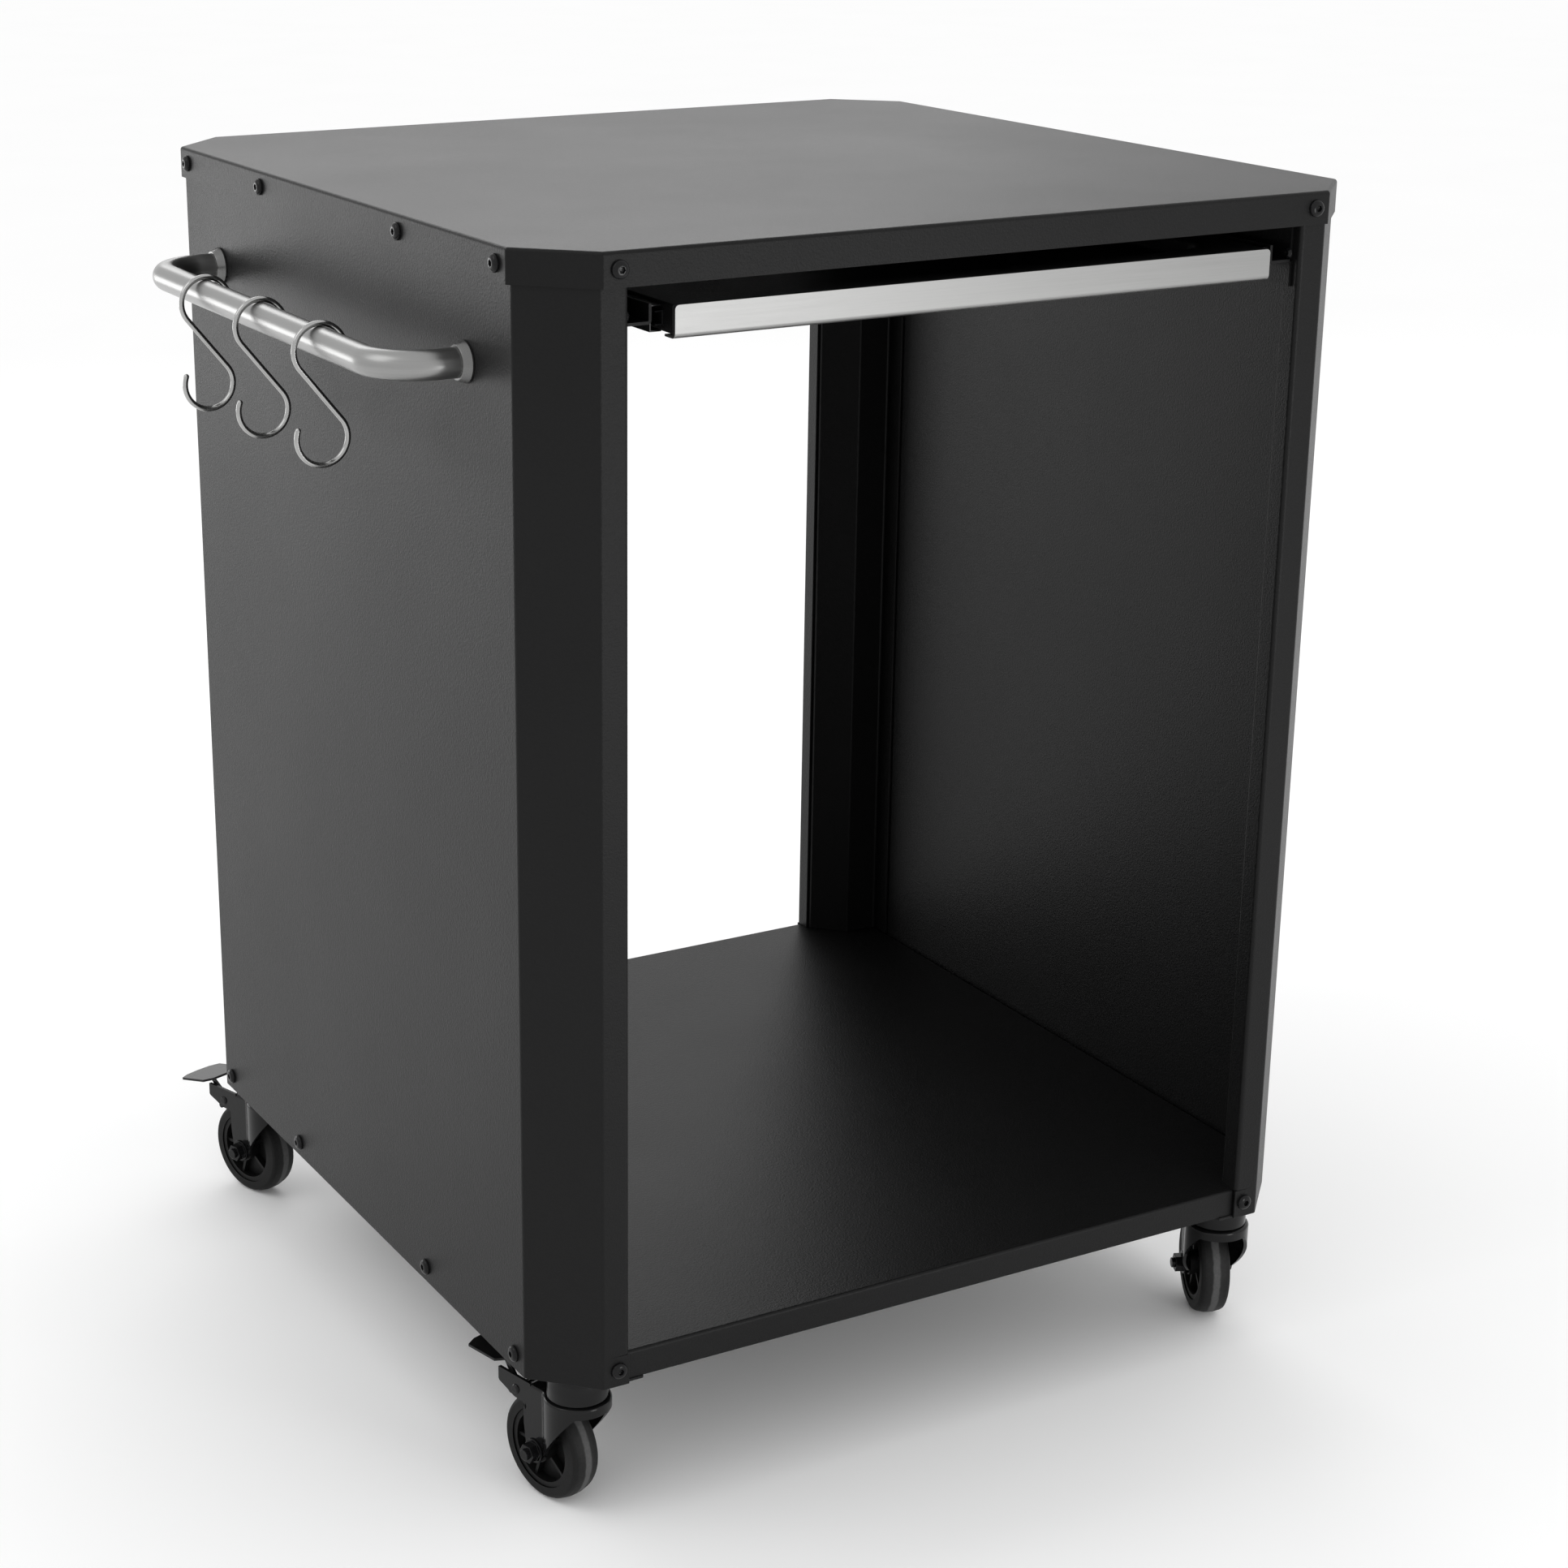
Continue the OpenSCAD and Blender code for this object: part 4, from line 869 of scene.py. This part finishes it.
class CART_OT_casters(bpy.types.Operator):
    """Makes the four swivel casters and the two brake pedals"""
    bl_idname = "cart.casters"
    bl_label = "Casters"

    def execute(self, context):
        fall = np.linspace(0, pi / 2, 12)
        dome = np.column_stack([15.2 + 6.8 * np.cos(fall), 97.6 + 16.6 * np.sin(fall)])
        stem = np.vstack([STEM_BELOW, dome, STEM_ABOVE])
        tyre = rounded_path(TYRE, (0, 1.0, 1.6, 1.6, 4.0, 4.0, 1.6, 1.6, 1.0, 0), steps=4)
        for corner in CASTERS:
            place = caster_matrix(corner)
            dressed(corner + "_stem", turned(stem).moved(place), finish_of("gloss"))
            eared = corner.endswith("left")
            dressed(
                corner + "_fork", fork_shape(eared).moved(place), finish_of("gloss"), wall=2.5, edge=0.0005,
                smooth=34, even=False)
            wheel_frame = place[:, :3] @ np.array([[1, 0, 0], [0, 0, -1], [0, 1, 0.0]])
            hub = place[:, :3] @ (TRAIL, 0, WHEEL_R) + place[:, 3]
            turn = np.column_stack([wheel_frame, hub])
            dressed(corner + "_tyre", turned(tyre, 96).moved(turn), finish_of("rubber"))
            softened(corner + "_wheel", finish_of("plastic"), edge=0.0006)
            softened(corner + "_axle", finish_of("bolt"), edge=0.0004)
            if eared:
                softened(corner + "_brake_pedal", finish_of("gloss"), edge=0.0006)
                softened(corner + "_pedal_pin", finish_of("gloss"), edge=0.0003)
        softened("stem_nuts", finish_of("zinc"), edge=0.0004)
        # The swivel balls take the dark bolt finish so that the gap between cup and crown reads dark: painted
        # shade.
        softened("swivel_balls", finish_of("bolt"), edge=None, smooth=50)
        return {"FINISHED"}


def lamp(name, place, aim, width, height, power):
    """A soft rectangular lamp that faces a point."""
    light = bpy.data.lights.new(name, "AREA")
    light.shape, light.size, light.size_y, light.energy = "RECTANGLE", width, height, power
    holder = bpy.data.objects.new(name, light)
    bpy.context.scene.collection.objects.link(holder)
    out = (np.asarray(place) - np.asarray(aim)).astype(float)
    out /= np.linalg.norm(out)
    side = np.cross((0, 0, 1.0), out)
    side = side / np.linalg.norm(side) if np.linalg.norm(side) > 1e-6 else np.array((1.0, 0, 0))
    turn = Matrix(np.stack([side, np.cross(out, side), out], 1).tolist())
    holder.matrix_world = Matrix.Translation(place) @ turn.to_4x4()
    return holder


class CART_OT_stage(bpy.types.Operator):
    """Makes the pale floor, the soft lamps and the camera"""
    bl_idname = "cart.stage"
    bl_label = "Stage"

    def execute(self, context):
        scene = context.scene
        scene.view_settings.view_transform = "Standard"
        world = scene.world or bpy.data.worlds.new("Studio")
        scene.world = world
        world.use_nodes = True
        world.node_tree.nodes["Background"].inputs["Color"].default_value = (1, 1, 1, 1)
        world.node_tree.nodes["Background"].inputs["Strength"].default_value = 1.0

        f = Finish("Pale floor")
        mottle = f.noise(f.place(), 3, 2, 0.5)
        tone = tuple(colours().floor)
        f.surface(Base_Color=f.tint(mottle, shade(tone, 0.99), shade(tone, 1.01)), Roughness=0.9)
        f.set(f.shader, {"Specular IOR Level": 0.0})
        edge = 30000.0
        ground = Surface()
        ground.grid([[(-edge, -edge, 0), (edge, -edge, 0)], [(-edge, edge, 0), (edge, edge, 0)]])
        plane = bpy.data.objects.new("floor", ground.mesh("floor"))
        plane.data.materials.append(f.material)
        scene.collection.objects.link(plane)

        lamp("lamp_top_left", (-2.2, 0.2, 2.6), (-0.2, 0, 0.7), 1.6, 1.6, 10)
        lamp("lamp_back", (0.8, 2.6, 2.4), (0, 0, 0.8), 2.4, 1.2, 18)
        lamp("lamp_front_right", (0.6, -2.2, 0.4), (-0.25, -0.3, 0.7), 0.6, 0.7, 9)
        lamp("lamp_left_rear", (-1.5, 2.6, 0.55), (-0.3, 0, 0.8), 1.2, 0.7, 8)

        camera = bpy.data.cameras.new("camera")
        camera.lens, camera.sensor_width = 70.78, 36.0
        camera.shift_x, camera.shift_y = 0.0970, -0.0050
        camera.clip_start, camera.clip_end = 0.05, 100.0
        view = bpy.data.objects.new("camera", camera)
        scene.collection.objects.link(view)
        right, down = np.array((0.8798, -0.4753, 0.0)), np.array((-0.1515, -0.2804, -0.9479))
        ahead = np.array((0.4505, 0.8340, -0.3187))
        view.matrix_world = Matrix.Translation((-1.1624, -1.9891, 1.1955)) @ Matrix(
            np.stack([right, -down, -ahead], 1).tolist()).to_4x4()
        scene.camera = view
        return {"FINISHED"}


STEPS = (
    CART_OT_worktop, CART_OT_panels, CART_OT_shelf, CART_OT_bolts, CART_OT_drawer, CART_OT_handle,
    CART_OT_hooks, CART_OT_casters, CART_OT_stage)


class CART_PT_panel(bpy.types.Panel):
    """Lists the sizes, the colours and the steps that make the cart"""
    bl_idname = "CART_PT_panel"
    bl_label = "Kitchen cart"
    bl_space_type = "VIEW_3D"
    bl_region_type = "UI"
    bl_category = "Cart"

    def draw(self, context):
        for group in (context.scene.cart_sizes, context.scene.cart_colours):
            box = self.layout.box()
            for name in group.__annotations__:
                box.prop(group, name)
        for step in STEPS:
            self.layout.operator(step.bl_idname)


CLASSES = (CartSizes, CartColours, *STEPS, CART_PT_panel)


def register():
    for cls in CLASSES:
        bpy.utils.register_class(cls)
    bpy.types.Scene.cart_sizes = PointerProperty(type=CartSizes)
    bpy.types.Scene.cart_colours = PointerProperty(type=CartColours)


def unregister():
    del bpy.types.Scene.cart_sizes
    del bpy.types.Scene.cart_colours
    for cls in reversed(CLASSES):
        bpy.utils.unregister_class(cls)


def main():
    register()
    for step in STEPS:
        group, name = step.bl_idname.split(".")
        getattr(getattr(bpy.ops, group), name)()
    bpy.context.view_layer.update()


if __name__ == "__main__":
    main()
